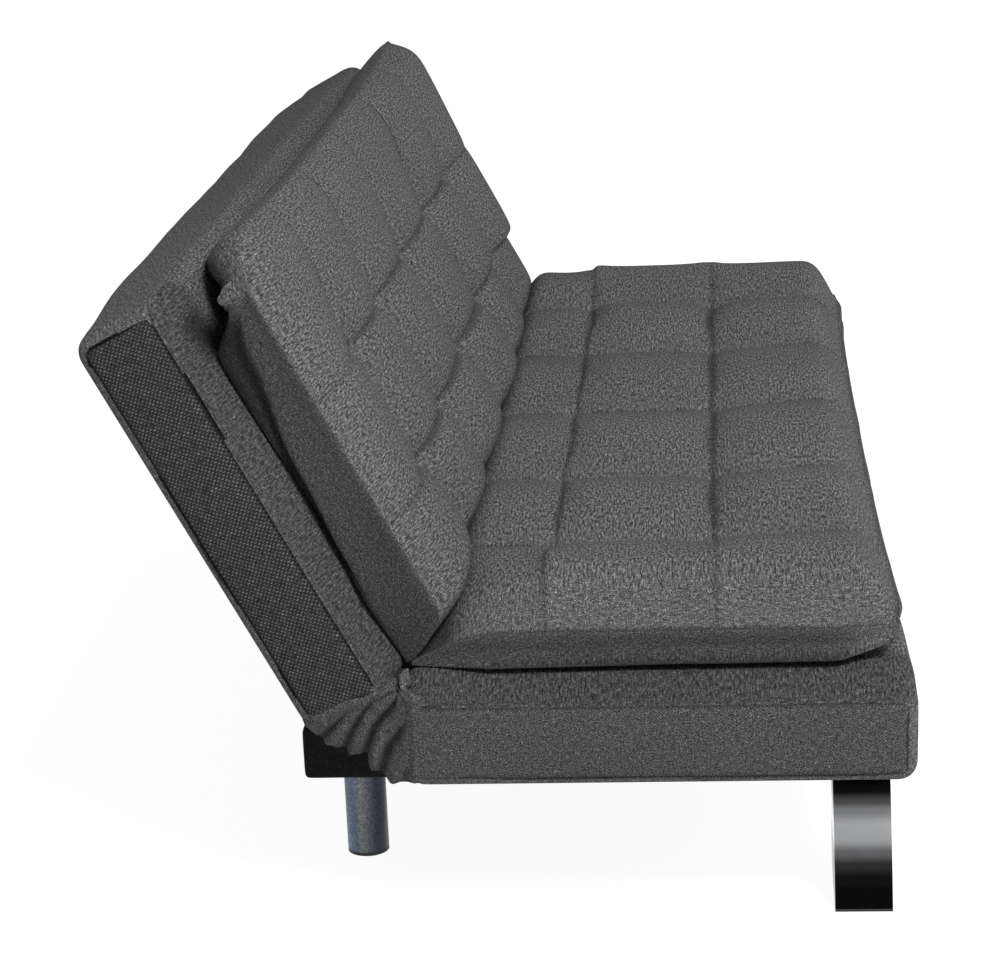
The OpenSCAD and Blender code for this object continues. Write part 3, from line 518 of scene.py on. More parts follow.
def plain_finish(name, colour, roughness, metallic=0.0, grain=60.0, depth=0.0002, stretch=(1, 1, 1)):
    """A finish with a fine grain in its colour, roughness and bump"""
    if name in bpy.data.materials:
        return bpy.data.materials[name]
    finish = Finish(name)
    fleck = finish.noise(finish.place, grain, 4, 0.6, stretch)
    drift = finish.group(wear_group(), Vector=finish.place, Scale=12.0, Amount=0.2)["Factor"]
    spread = finish.times(finish.ranged(fleck, 0.25, 0.75, 0.75, 1.25), drift)
    rough = finish.ranged(fleck, 0.2, 0.8, roughness * 0.85, min(1, roughness * 1.15))
    finish.give(Base_Color=finish.scaled(colour, spread), Metallic=metallic, Roughness=rough)
    finish.bump(fleck, depth, 0.6)
    return finish.material


def inner_finishes():
    """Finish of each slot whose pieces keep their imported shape"""
    return {
        "black_cloth": black_cloth(),
        "webbing": plain_finish("Elastic Webbing", (0.012, 0.012, 0.013), 0.9, grain=500),
        "foam": plain_finish("Cream Foam", (0.72, 0.62, 0.4), 0.95, grain=350, depth=0.0006),
        "wadding": plain_finish("White Wadding", (0.75, 0.75, 0.72), 0.98, grain=120, depth=0.001),
        "timber": plain_finish("Sawn Pine", (0.52, 0.35, 0.19), 0.7, grain=30, stretch=(0.12, 1, 1)),
        "hinge_steel": plain_finish("Dark Hinge Steel", (0.05, 0.05, 0.055), 0.45, 0.7, grain=80),
        "zinc_fixings": plain_finish("Bright Zinc", (0.56, 0.57, 0.58), 0.32, 1.0, grain=150),
        "smoked_chrome": smoked_chrome(),
        "leg_paint": leg_paint(),
        "black_rubber": plain_finish("Black Rubber", (0.012, 0.012, 0.012), 0.75, grain=200),
        "black_plastic": plain_finish("Black Plastic", (0.014, 0.014, 0.015), 0.5, grain=250),
        "upholstery": upholstery("panel"),
    }


# Mesh helpers

TOUCH = 1e-5


def clamped(value):
    """The value, kept between 0 and 1"""
    return min(1, max(0, value))


def smoothly(value):
    """The value, kept between 0 and 1 and turning softly at both"""
    value = clamped(value)
    return value * value * (3 - 2 * value)


def ease_out(gap, length):
    """Rises from 0 to 1 over a length, steep at first"""
    return 1 - (1 - clamped(gap / length)) ** 2


def between(points, spot):
    """Value at a spot on a line of (place, value) points, turning smoothly at each"""
    if spot <= points[0][0]:
        return points[0][1]
    for (start, low), (end, high) in zip(points, points[1:]):
        if spot <= end:
            return low + (high - low) * smoothly((spot - start) / (end - start))
    return points[-1][1]


def local_box(node, place):
    """A node's lowest and highest corner in its box's own directions"""
    back = place.inverted()
    points = [back @ vertex.co for vertex in frame["nodes"][node].data.vertices]
    low = Vector(min(point[i] for point in points) for i in range(3))
    high = Vector(max(point[i] for point in points) for i in range(3))
    return low, high


def cut_at(bm, axis, position):
    """Cuts the whole mesh with a plane across one axis"""
    normal = [0, 0, 0]
    normal[axis] = 1
    point = [0, 0, 0]
    point[axis] = position
    bmesh.ops.bisect_plane(
        bm, geom=bm.verts[:] + bm.edges[:] + bm.faces[:], dist=1e-6, plane_co=point, plane_no=normal)


def rounded_block(low, high, edge, segments, steps):
    """A block with rounded edges, cut evenly in steps along each axis"""
    bm = bmesh.new()
    bmesh.ops.create_cube(bm, size=1)
    place = Matrix.Translation((low + high) / 2) @ Matrix.Diagonal((*(high - low), 1))
    bmesh.ops.transform(bm, matrix=place, verts=bm.verts)
    bmesh.ops.bevel(
        bm, geom=bm.edges[:], offset=edge, segments=segments, profile=0.5, affect="EDGES", material=-1)
    for axis, step in enumerate(steps):
        length = high[axis] - low[axis]
        count = max(1, round(length / step))
        for number in range(1, count):
            cut_at(bm, axis, low[axis] + length * number / count)
    return bm


def lay_cloth(bm):
    """UV map in metres: each face is laid out square to the direction it faces most"""
    layer = bm.loops.layers.uv.verify()
    facing = bm.verts.layers.float.new("facing_end")
    bm.normal_update()
    for vertex in bm.verts:
        vertex[facing] = abs(vertex.normal.x)
    for face in bm.faces:
        size = [abs(part) for part in face.normal]
        main = size.index(max(size))
        first, second = ((1, 2), (0, 2), (0, 1))[main]
        for loop in face.loops:
            loop[layer].uv = (loop.vert.co[first], loop.vert.co[second])


def make_piece(name, bm, place, materials, body, nodes):
    """Makes the object, puts its place in its mesh and hands it to its body"""
    bmesh.ops.transform(bm, matrix=place, verts=bm.verts)
    bmesh.ops.recalc_face_normals(bm, faces=bm.faces)
    mesh = bpy.data.meshes.new(name)
    bm.to_mesh(mesh)
    bm.free()
    mesh.shade_smooth()
    for material in materials:
        mesh.materials.append(material)
    piece = bpy.data.objects.new(name, mesh)
    bpy.context.scene.collection.objects.link(piece)
    if body:
        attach(piece, body)
    if nodes:
        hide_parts(*nodes)
    return piece


def soften(piece):
    """Rounds a cloth piece with one level of subdivision"""
    modifier = piece.modifiers.new("Soften", "SUBSURF")
    modifier.levels = 1
    modifier.render_levels = 1


# Upholstered boxes

BOX_STEPS = (0.030, 0.026, 0.020)
# The panel's recess has a wall this wide, and its floor lies a little above the panel
RECESS_WALL = 0.002
PANEL_GAP = 0.0005
# The far side's swell starts this far in, and fades over these lengths at the box's two ends
FAR_REACH = 0.12
FAR_FADE = (0.22, 0.34)
# The shoulders' drop fades out this far down the end, and is full this close to it
SHOULDER_HEIGHT = 0.085
SHOULDER_FLAT = 0.006
# Middle and half width of the painted shade in the hollow beside the cushion, in from the box's end
HOLLOW = (0.054, 0.042)
# How far in from the end the lifted corner's pocket lies, its half length and half width, and the strength of the
# painted shadow in it
POCKET_IN = 0.055
POCKET_HALF = (0.032, 0.04)
POCKET_SHADE = 1.7


def seam_groove(bm, axis, position, seam, marked, keep):
    """Cuts three loops round the box and marks the middle one to be pressed in"""
    half = chosen("boxes").seam_width / 2
    for offset in (-half, half, 0):
        cut_at(bm, axis, position + offset)
    bm.normal_update()
    for vertex in bm.verts:
        if abs(vertex.co[axis] - position) < TOUCH and keep(vertex.co):
            # The groove's middle line is darkened, partly for its stitching and partly as painted shade in the
            # groove
            vertex[seam] = 1.0
            marked.append((vertex, vertex.normal.copy()))


def cover_shift(vertex, low, high, far_swell):
    """How far the filling, the slack and the sloping shoulders move a point of the cover"""
    boxes = chosen("boxes")
    co = vertex.co
    size = high - low
    centre = (high + low) / 2
    swell_z = math.sin(math.pi * clamped((co.z - low.z) / size.z))
    swell_y = math.sin(math.pi * clamped((co.y - low.y) / size.y))
    wave = noise.noise(Vector((co.x * 7, co.y * 9, co.z * 9)) + centre)
    fine = noise.noise(Vector((co.x * 24, co.y * 30, co.z * 30)))
    shift = Vector((0, 0, 0))
    if co.z > low.z + 0.004:
        shift += vertex.normal * boxes.slack * (wave + 0.35 * fine)
    if abs(co.x - centre.x) > size.x / 2 - boxes.edge_round * 0.3:
        shift.x += math.copysign(boxes.end_swell * swell_y * swell_z, co.x - centre.x)
    full = smoothly((co.x - low.x) / FAR_FADE[0]) * smoothly((high.x - co.x) / FAR_FADE[1])
    rear = 1 - clamped((co.z - low.z) / size.z)
    shift.y += far_swell * full * (0.5 + 0.5 * rear) * smoothly((co.y - high.y + FAR_REACH) / FAR_REACH)
    reach = boxes.shoulder_reach
    slope = smoothly((abs(co.x) - high.x + reach) / (reach - SHOULDER_FLAT))
    shift.z -= boxes.shoulder_drop * slope * smoothly((co.z - high.z + SHOULDER_HEIGHT) / SHOULDER_HEIGHT)
    return shift


def cover_shade(co, high, pocket):
    """Painted shade on the padded face: in the hollow under the cushion, on the shoulders and in the pocket"""
    boxes = chosen("boxes")
    past_end = abs(co.x) - high.x
    hollow = smoothly(1 - abs(past_end + HOLLOW[0]) / HOLLOW[1])
    shoulder = smoothly((past_end + 0.075) / 0.02) * smoothly((co.z - high.z + 0.015) / 0.008)
    shade = max(boxes.hollow_shade * hollow, boxes.shoulder_shade * shoulder)
    if pocket:
        dark = smoothly(1.4 - abs(co.y - pocket) / POCKET_HALF[0])
        dark *= smoothly(1.3 - abs(past_end + POCKET_IN) / POCKET_HALF[1])
        shade = max(shade, POCKET_SHADE * dark)
    return shade


def upholstered_box(name, nodes, panel, place, body, far_swell, end_cloth, pocket=None):
    """Fabric cover of one box, with its end panels, seams, hem and soft unevenness"""
    boxes = chosen("boxes")
    edge = boxes.edge_round
    low, high = local_box(nodes[0], place)
    rim_low, rim_high = local_box(panel, place)
    centre = (high + low) / 2
    bm = rounded_block(low, high, edge, 6, BOX_STEPS)
    # The panel on the underside sits in a shallow recess inside the hem
    for axis in (0, 1):
        for rim, wall in ((rim_low[axis], -RECESS_WALL), (rim_high[axis], RECESS_WALL)):
            cut_at(bm, axis, rim)
            cut_at(bm, axis, rim + wall)
    # The seam layer darkens the grooves and also holds the painted shade beside the cushion
    seam = bm.verts.layers.float.new("seam")
    marked = []
    end_seam = edge * 0.12
    for position in (low.x + end_seam, high.x - end_seam):
        seam_groove(bm, 0, position, seam, marked, lambda co: co.z < high.z - edge)
    far_seam = high.y - edge * 0.8
    seam_groove(bm, 2, high.z - edge * 0.9, seam, marked,
                lambda co: co.y > far_seam and low.x + end_seam < co.x < high.x - end_seam)
    for vertex in bm.verts:
        co = vertex.co
        inside = all(rim_low[i] - TOUCH <= co[i] <= rim_high[i] + TOUCH for i in (0, 1))
        if inside and co.z < low.z + 1e-4:
            co.z = low.z + boxes.panel_wall + PANEL_GAP
            continue
        shift = cover_shift(vertex, low, high, far_swell)
        # Painted shade beside the cushion goes into the seam layer
        if co.z > high.z - 0.016:
            vertex[seam] = max(vertex[seam], cover_shade(co, high, pocket))
        vertex.co = co + shift
    for vertex, normal in marked:
        vertex.co -= normal * boxes.seam_depth
    lay_cloth(bm)
    edge_x = (high - low).x / 2 - end_seam
    for face in bm.faces:
        middle = face.calc_center_median() - centre
        face.material_index = 1 if abs(middle.x) > edge_x else 0
    piece = make_piece(
        name, bm, place, (upholstery(), upholstery(end_cloth)), body, nodes)
    soften(piece)


# Tufted cushions

TOP_RING = 8
# Share of the border's height that each ring below the top one has, and the share of the border's painted shade
# that it gets
RING_SHARES = (0, 0, 0, 0.12, 0.32, 0.56, 0.8, 0.94)
RING_SHADES = (1.5, 1.4, 1.25, 1.1, 1, 1, 0.95, 0.85)
# Cuts in each cell across and along
CELL_CUTS = (24, 16)
# How much closer the grid lines lie beside a seam
SEAM_CROWDING = 0.09
# Lengths over which the ends and the far side round off
END_CROWN = 0.066
FAR_CROWN = 0.048
# Reach of a crossing's dimple, and how far from the ends and the far side it fades
TIE_REACH = 0.022
TIE_CLEAR = 0.09
# Height of the pad at the hinge, and of the fold away from the cushion's ends
THIN = 0.005
FLAT_FOLD = 0.003
# Steps of the simulation, and how often its moves are evened out
FILL_STEPS = 20
EVENING_PASSES = 4
FILLING = {
    "vertex_group_mass": "held", "quality": 5, "mass": 0.3, "tension_stiffness": 12,
    "compression_stiffness": 12, "shear_stiffness": 4, "bending_stiffness": 1.2, "use_pressure": True,
    "shrink_min": -0.02,
}


def cell_of(share, shares):
    """The cell that a share lies in, and how far across the cell it lies"""
    for number, (start, end) in enumerate(zip(shares, shares[1:])):
        if share <= end or number == len(shares) - 2:
            return number, (share - start) / (end - start)


def cell_rise(share, shares, fullness, steepness):
    """Rise across a cell: zero on its seams, steep beside them, and one half way between them"""
    inside = cell_of(share, shares)[1]
    return max(0, 1 - abs(2 * inside - 1) ** fullness) ** steepness


def even_to_seams(share, shares):
    """Spaces grid lines so that each cell has the same number, closer beside its seams"""
    cells = len(shares) - 1
    cell = min(cells - 1, int(share * cells + 1e-6))
    inside = share * cells - cell
    inside -= SEAM_CROWDING * math.sin(2 * math.pi * inside)
    return shares[cell] + inside * (shares[cell + 1] - shares[cell])


class CushionForm:
    """The shape of one tufted cushion in its box's own directions"""

    def __init__(self, node, place, layout):
        low, high = local_box(node, place)
        self.layout = layout
        self.half = high.x
        self.start = low.y
        self.depth = high.y - low.y - 0.002
        self.foot = low.z
        self.crown = high.z - low.z

    def seams_near(self, u, v):
        """Distance to the nearest seam that runs across, and to the nearest that runs along"""
        row = min(abs(u - stop) for stop in self.layout.rows[1:-1]) * self.half
        column = min(abs(v - stop) for stop in self.layout.columns[1:-1]) * self.depth
        return row, column

    def corner_round(self, u, v):
        """How far a corner is rounded in, along both sides"""
        layout = self.layout
        amount = layout.far_round if u * layout.far_end > 0 else 1
        corner = smoothly((abs(u) - 0.88) / 0.12) * smoothly((v - 0.84) / 0.16)
        round_x = layout.round_x * corner
        round_y = layout.round_y * amount * corner
        if layout.corner_radius:
            radius = layout.corner_radius * amount
            across = max(0, 1 - self.half * (1 - abs(u)) / radius)
            along = max(0, 1 - self.depth * (1 - v) / radius)
            round_x += radius * across * (1 - math.sqrt(1 - along ** 2 / 2))
            round_y += radius * along * (1 - math.sqrt(1 - across ** 2 / 2))
        return round_x, round_y

    def outline(self, u, v):
        """Plan position: long sides pull in between the corners, and seams wander a little"""
        layout = self.layout
        x = u * self.half
        y = v * self.depth
        wander = 0.005 * min(1, 6 * (1 - abs(u))) * min(1, 6 * (1 - v)) * min(1, 6 * v)
        swing_x = noise.noise(Vector((x * 6, y * 8, layout.seed)))
        swing_y = noise.noise(Vector((x * 8, y * 6, layout.seed + 9)))
        pull_x = layout.draw_end * (1 - (2 * v - 1) ** 2)
        pull_y = layout.draw_side * (1 - abs(u) ** 3) * v ** 2
        round_x, round_y = self.corner_round(u, v)
        x = x - math.copysign(pull_x * abs(u) ** 4 + round_x, u) + swing_x * wander
        y = y - pull_y + layout.side_reach * v ** 3 - round_y + swing_y * wander
        return x, y

    def tie(self, u, v, y):
        """Depth of the dimple where two seams cross"""
        row_gap, column_gap = self.seams_near(u, v)
        depth = math.exp(-(row_gap / TIE_REACH) ** 2 - (column_gap / TIE_REACH) ** 2)
        depth *= min(1, self.half * (1 - abs(u)) / TIE_CLEAR)
        depth *= min(1, self.depth * (1 - v) / TIE_CLEAR) * min(1, y / 0.05)
        return self.layout.tie * max(0, depth)

    def height(self, u, v, y):
        """Height of the top: full in each cell, low on the seams and rounded off at the edges"""
        layout = self.layout
        last_row = layout.rows[-2]
        last_column = layout.columns[-2]
        # Seams are shallow where they run out over the crowned ends and far side
        end_fade = 1 - layout.end_fade * smoothly((abs(u) - last_row) / (0.62 * (1 - last_row)))
        far_fade = 1 - layout.far_fade * smoothly((v - last_column) / (0.7 * (1 - last_column)))
        near_fade = 0.5 + 0.5 * smoothly(v / 0.12)
        rise_row = 1 - far_fade * near_fade * (1 - cell_rise(u, layout.rows, 2.2, 0.75))
        rise_column = 1 - layout.column_depth * end_fade * (1 - cell_rise(v, layout.columns, 3.4, 0.5))
        low_end = 1 - ease_out(self.half * (1 - abs(u)), END_CROWN)
        low_far = 1 - ease_out(self.depth * (1 - v), FAR_CROWN)
        edge = 1 - min(1, (low_end ** 2.5 + low_far ** 2.5) ** 0.4)
        row = cell_of(u, layout.rows)[0]
        column = cell_of(v, layout.columns)[0]
        plump = 1 + 0.10 * noise.noise(Vector((row * 3.1, column * 5.7, layout.seed)))
        far_rise = layout.far_rise * layout.far_levels[column]
        crown = self.crown - 0.003 + far_rise * smoothly((u * layout.far_end - 0.2) / 0.6)
        crown += layout.levels[column]
        near = smoothly((-u * layout.far_end - 0.72) / 0.24)
        taper = layout.taper + (layout.end_taper - layout.taper) * near
        pit = layout.seam_height
        body = layout.border + (pit - layout.border) * edge
        body += (crown - pit) * edge * rise_row * rise_column * plump
        body -= self.tie(u, v, y)
        return THIN + ease_out(y + 0.001, taper) * (body - THIN)

    def point(self, u, v, ring):
        """Rings 0 to 7 climb the border from the foot, and the top continues from ring 8"""
        layout = self.layout
        x, y = self.outline(u, v)
        top = self.height(u, v, y)
        if ring == TOP_RING:
            return Vector((x, self.start + y, self.foot + top))
        reach = 0.14 + 0.07 * smoothly((v - 0.9) / 0.1)
        near_end = smoothly((abs(u) - 1 + reach) / reach)
        lift = between(layout.lift, v) * near_end + FLAT_FOLD * (1 - near_end)
        lift = min(lift, top * 0.8)
        out = layout.strip[ring]
        z = lift + (top - lift) * RING_SHARES[ring]
        if ring < 2:
            # A skirt reaches out from the foot of the border
            skirt = between(layout.skirt, v) * near_end
            blend = smoothly(skirt / 0.012)
            out += ((skirt, skirt * 0.35)[ring] - out) * blend
            z = lift * ((0.5, 0.9)[ring] * (1 - blend) + (0.0, 0.62)[ring] * blend)
            # Past the skirt the foot is tucked away under the lifted corner
            tuck = smoothly((v - 0.82) / 0.05) * near_end * layout.corner_tuck
            out += ((-0.045, -0.030)[ring] - out) * tuck
            z += (lift * 0.97 - z) * tuck
        out *= min(1, v * 6)
        if abs(u) > 0.999:
            x += math.copysign(out, u)
        if v > 0.999:
            y += min(out, 0.0065) if abs(u) < 0.999 or ring < 2 else 0
        return Vector((x, self.start + y, self.foot + z))

    def underside(self, u, v):
        """The underside lies on the box, and rises behind the lifted corners"""
        layout = self.layout
        x, y = self.outline(u * (0.985 - 0.035 * layout.corner_tuck),
                            min(v, 0.985 - 0.055 * layout.corner_tuck))
        lift = between(layout.lift, v) * smoothly((abs(u) - 0.86) / 0.14) * smoothly((v - 0.74) / 0.12)
        return Vector((x, self.start + y, self.foot + 0.0005 + lift))

    def shade(self, u, v, ring, on_rim, on_seam):
        """Darkening of the cloth: the seams partly by their stitching and partly by painted shade, and painted
        shade on the border and where the cushions press together
        """
        layout = self.layout
        # The rim's seam line is darkened, partly for its stitching and partly as painted shade in the crease
        if on_rim and ring == TOP_RING:
            return layout.rim_mark
        if on_rim:
            # The border gets painted shade, deepest in the fold
            shade = layout.strip_shade * RING_SHADES[ring] * (0.4 if abs(u) < 0.999 else 1)
            return shade * (1 - 0.75 * smoothly((v - 0.86) / 0.08))
        # Painted shadow along the line where the seat cushion meets the back cushion
        shade = layout.contact * smoothly((0.050 - v * self.depth) / 0.018)
        # Seams are darkened, partly for their stitching and partly as painted shade in the groove
        if on_seam:
            shade = max(shade, 0.6 if abs(u) > layout.rows[-2] + 0.02 else 1.1)
        return shade


def cushion_mesh(form):
    """A grid over the cells, extruded down to a closed pad and cut into border rings"""
    layout = form.layout
    bm = bmesh.new()
    rows = (len(layout.rows) - 1) * CELL_CUTS[0]
    columns = (len(layout.columns) - 1) * CELL_CUTS[1]
    bmesh.ops.create_grid(bm, x_segments=rows, y_segments=columns, size=0.5)
    made = bmesh.ops.extrude_face_region(bm, geom=bm.faces[:], use_keep_orig=True)
    lower = [item for item in made["geom"] if isinstance(item, bmesh.types.BMVert)]
    bmesh.ops.translate(bm, vec=(0, 0, -1), verts=lower)
    bmesh.ops.translate(bm, vec=(0.5, 0.5, 1), verts=bm.verts)
    posts = [edge for edge in bm.edges if abs(edge.verts[0].co.z - edge.verts[1].co.z) > 0.5]
    bmesh.ops.subdivide_edges(bm, edges=posts, cuts=TOP_RING - 1, use_grid_fill=True)
    # The seam layer holds the seams' dark lines and the painted shade on the border and along the contact line
    seam = bm.verts.layers.float.new("seam")
    held = bm.verts.layers.float.new("held")
    crease = bm.edges.layers.float.new("crease_edge")
    for vertex in bm.verts:
        co = vertex.co.copy()
        on_rim = min(co.x, 1 - co.x, co.y, 1 - co.y) < 1e-4
        ring = round(co.z * TOP_RING)
        u = even_to_seams(co.x, layout.rows)
        v = even_to_seams(co.y, layout.columns)
        if ring == 0 and not on_rim:
            vertex.co = form.underside(u, v)
            vertex[held] = 1.0
            continue
        vertex.co = form.point(u, v, ring)
        on_seam = ring == TOP_RING and min(form.seams_near(u, v)) < 1e-4 and not on_rim
        vertex[seam] = form.shade(u, v, ring, on_rim, on_seam)
        vertex[held] = 1.0 if on_seam or on_rim else 0.0
    for edge in bm.edges:
        if min(vertex[seam] for vertex in edge.verts) > 0.7:
            edge[crease] = 0.7
    return bm


def evened(mesh, moves):
    """Evens each point's move out with its neighbours', so that no wrinkle stands alone"""
    for number in range(EVENING_PASSES):
        sums = [move.copy() for move in moves]
        counts = [1] * len(moves)
        for edge in mesh.edges:
            first, second = edge.vertices
            sums[first] += moves[second]
            sums[second] += moves[first]
            counts[first] += 1
            counts[second] += 1
        moves = [total / count for total, count in zip(sums, counts)]
    return moves


def fill_cover(piece, pressure, cap):
    """Swells the cover between its held seams by cloth simulation, and keeps the result"""
    scene = bpy.context.scene
    mesh = piece.data
    before = [vertex.co.copy() for vertex in mesh.vertices]
    held = mesh.attributes["held"].data
    group = piece.vertex_groups.new(name="held")
    group.add([i for i in range(len(before)) if held[i].value > 0.5], 1.0, "REPLACE")
    cloth = piece.modifiers.new("Filling", "CLOTH")
    for name, value in FILLING.items():
        setattr(cloth.settings, name, value)
    cloth.settings.uniform_pressure_force = pressure
    cloth.settings.effector_weights.gravity = 0
    cloth.collision_settings.use_collision = False
    cloth.point_cache.frame_start = 1
    cloth.point_cache.frame_end = FILL_STEPS
    for number in range(1, FILL_STEPS + 1):
        scene.frame_set(number)
    shaped = piece.evaluated_get(bpy.context.evaluated_depsgraph_get())
    after = [vertex.co.copy() for vertex in shaped.data.vertices]
    piece.modifiers.remove(cloth)
    piece.vertex_groups.remove(group)
    scene.frame_set(1)
    moves = []
    for old, new in zip(before, after):
        move = new - old
        moves.append(move * (cap / move.length) if move.length > cap else move)
    for vertex, old, move in zip(mesh.vertices, before, evened(mesh, moves)):
        vertex.co = old + move
    mesh.update()


def tufted_cushion(name, node, place, body, layout):
    """One pillow top, with its cover swelled between the seams"""
    cushion = chosen("cushions")
    bm = cushion_mesh(CushionForm(node, place, layout))
    lay_cloth(bm)
    piece = make_piece(name, bm, place, (upholstery(),), body, (node,))
    fill_cover(piece, cushion.pressure, cushion.swell_cap)
    soften(piece)


# Pleated webs at the hinge

# Radius at which the web starts, and its thickness
WEB_START = 0.0008
WEB_WALL = 0.0016
# How close to the pivot the web goes right round it, and how far over the boxes it is sewn down
WEB_RING = 0.0125
WEB_OVERLAP = 0.027
# Number of pleats, and how narrow their valleys are
PLEATS = 5.4
PLEAT_SHARPNESS = 3.2
# Distance from the pivot of the two points between which the web turns from seat to back
KNOT_SIZE = (0.010, 0.0062, 0.0145)
# The knot's place, in from the cover's end and from the pivot
KNOT_PLACE = (-0.024, -0.0065, 0.006)


def web_rest(inside):
    """Depth of the unpleated web: proud of the boxes' edges, and sunk in the gap between them"""
    if inside > 0.004:
        rest = -0.0012 + 0.0052 * smoothly((inside - 0.012) / 0.012)
        return rest + 0.0045 * smoothly((0.012 - inside) / 0.008)
    return 0.0033 + 0.012 * (1 - math.exp((inside - 0.004) / 0.016))


def hinge_web(name, node, side):
    """Loose fabric over the wedge between the boxes, gathered at the pivot into pleats"""
    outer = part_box("seat_box_cover")[1][0]
    gap = local_box("seat_box_cover", SEAT_PLACE)[0].y
    bm = bmesh.new()
    bmesh.ops.create_grid(bm, x_segments=96, y_segments=32, size=0.5)
    seam = bm.verts.layers.float.new("seam")
    for vertex in bm.verts:
        share = vertex.co.x + 0.5
        out = vertex.co.y + 0.5
        radius = WEB_START + (between(WEB_HEM, share) - WEB_START) * out
        ring = math.exp(-radius / WEB_RING)
        tuck = 2.55 * ring + math.asin(min(1, WEB_OVERLAP / max(radius, WEB_OVERLAP + 0.001))) * (1 - ring)
        turn = (BACK_TURN + 2 * tuck) * share - tuck
        # How far the point lies inside the edge of either box, or out in the gap between them
        inside = max(-math.sin(turn), math.sin(turn - BACK_TURN)) * radius - gap
        loose = smoothly((0.010 - inside) / 0.016)
        phase = 0.5 + share * PLEATS + 0.25 * math.sin(out * 4 + share * 5)
        valley = abs(math.cos(math.pi * phase)) ** PLEAT_SHARPNESS
        deep = 0.55 + 0.45 * math.exp(-((share - 0.45) / 0.16) ** 2)
        depth = web_rest(inside) + (0.002 + 0.016 * out) * valley * deep * loose - 0.004 * loose * out
        # The web is drawn in where it rises to the hinge, and its hem is gathered
        depth += 0.024 * smoothly((0.006 - radius * math.cos(turn)) / 0.018)
        gather = smoothly((out - 0.82) / 0.18)
        depth += 0.0022 * math.sin(share * 75) * gather * loose + 0.009 * gather ** 2
        depth += 0.002 * noise.noise(Vector((share * 14, out * 9, side))) * loose
        vertex.co = Vector((side * (outer - depth), HINGE.y + radius * math.sin(turn),
                            HINGE.z - radius * math.cos(turn)))
        # Painted shade darkens the pleats' valleys
        vertex[seam] = 0.9 * loose * smoothly((valley - 0.35) / 0.5)
    bmesh.ops.solidify(bm, geom=bm.faces[:], thickness=WEB_WALL)
    lay_cloth(bm)
    piece = make_piece(
        name, bm, Matrix.Identity(4), (upholstery("twill"),), None, (node,))
    soften(piece)
    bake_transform(piece)


def hinge_knot(name, side):
    """Twist of gathered cloth where the cushions and boxes meet, above the web"""
    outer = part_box("seat_box_cover")[1][0]
    bm = bmesh.new()
    bmesh.ops.create_uvsphere(bm, u_segments=28, v_segments=24, radius=1)
    for vertex in bm.verts:
        co = vertex.co.copy()
        turn = math.atan2(co.y, co.x)
        twist = 1 + 0.2 * math.sin(turn * 3 + co.z * 3.5) + 0.08 * noise.noise(co * 3)
        vertex.co = Vector((co.x * KNOT_SIZE[0] * twist, co.y * KNOT_SIZE[1] * twist, co.z * KNOT_SIZE[2]))
    lay_cloth(bm)
    place = Matrix.Translation(
        (side * (outer + KNOT_PLACE[0]), HINGE.y + KNOT_PLACE[1], HINGE.z + KNOT_PLACE[2]))
    place = place @ Matrix.Rotation(0.2, 4, "X")
    piece = make_piece(name, bm, place, (upholstery(),), "seat", ())
    soften(piece)


# Operators, in the order in which the sofa is made

class SOFA_OT_finishes(bpy.types.Operator):
    """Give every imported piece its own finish"""
    bl_idname = "sofa.finishes"
    bl_label = "Inner Finishes"

    def execute(self, context):
        finishes = inner_finishes()
        slots = {part["node"]: part["material_slot"] for part in frame["record"]["subparts"]}
        for node, piece in frame["nodes"].items():
            for slot in piece.material_slots:
                slot.material = finishes[slots[node]]
        return {"FINISHED"}


class SOFA_OT_boxes(bpy.types.Operator):
    """Upholster the seat box and the back box"""
    bl_idname = "sofa.boxes"
    bl_label = "Upholstered Boxes"

    def execute(self, context):
        boxes = chosen("boxes")
        upholstered_box("seat_box_upholstery", ("seat_box_cover", "seat_foam", "seat_edge_foam"),
                        "seat_dust_cover", SEAT_PLACE, "seat", boxes.seat_swell, "twill")
        upholstered_box("back_box_upholstery", ("back_box_cover", "back_foam", "back_edge_foam"),
                        "back_rear_panel", BACK_PLACE, "back", boxes.back_swell, "rib", 0.412)
        return {"FINISHED"}


class SOFA_OT_cushions(bpy.types.Operator):
    """Make the tufted pillow tops"""
    bl_idname = "sofa.cushions"
    bl_label = "Tufted Cushions"

    def execute(self, context):
        tufted_cushion("seat_pillow_top", "seat_cushion", SEAT_PLACE, "seat", SEAT_LAYOUT)
        tufted_cushion("back_pillow_top", "back_cushion", BACK_PLACE, "back", BACK_LAYOUT)
        return {"FINISHED"}


class SOFA_OT_webs(bpy.types.Operator):
    """Make the pleated fabric webs at the hinges"""
    bl_idname = "sofa.webs"
    bl_label = "Hinge Webs"

    def execute(self, context):
        hinge_web("hinge_web_left", "hinge_gusset_left", -1)
        hinge_web("hinge_web_right", "hinge_gusset_right", 1)
        hinge_knot("hinge_knot_left", -1)
        hinge_knot("hinge_knot_right", 1)
        return {"FINISHED"}


class SOFA_OT_beam(bpy.types.Operator):
    """Wrap the rear beam in black cloth"""
    bl_idname = "sofa.beam"
    bl_label = "Rear Beam"

    def execute(self, context):
        low, high = (Vector(corner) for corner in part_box("beam_wrap"))
        bm = rounded_block(low, high, chosen("legs").beam_edge, 4, (0.045, 0.030, 0.020))
        for vertex in bm.verts:
            wave = noise.noise(vertex.co * 11)
            if vertex.co.z < high.z - 0.002:
                vertex.co += vertex.normal * 0.0012 * (wave - 0.5)
        lay_cloth(bm)
        piece = make_piece(
            "beam_cloth", bm, Matrix.Identity(4), (black_cloth(),), "seat", ("beam_wrap",))
        soften(piece)
        return {"FINISHED"}


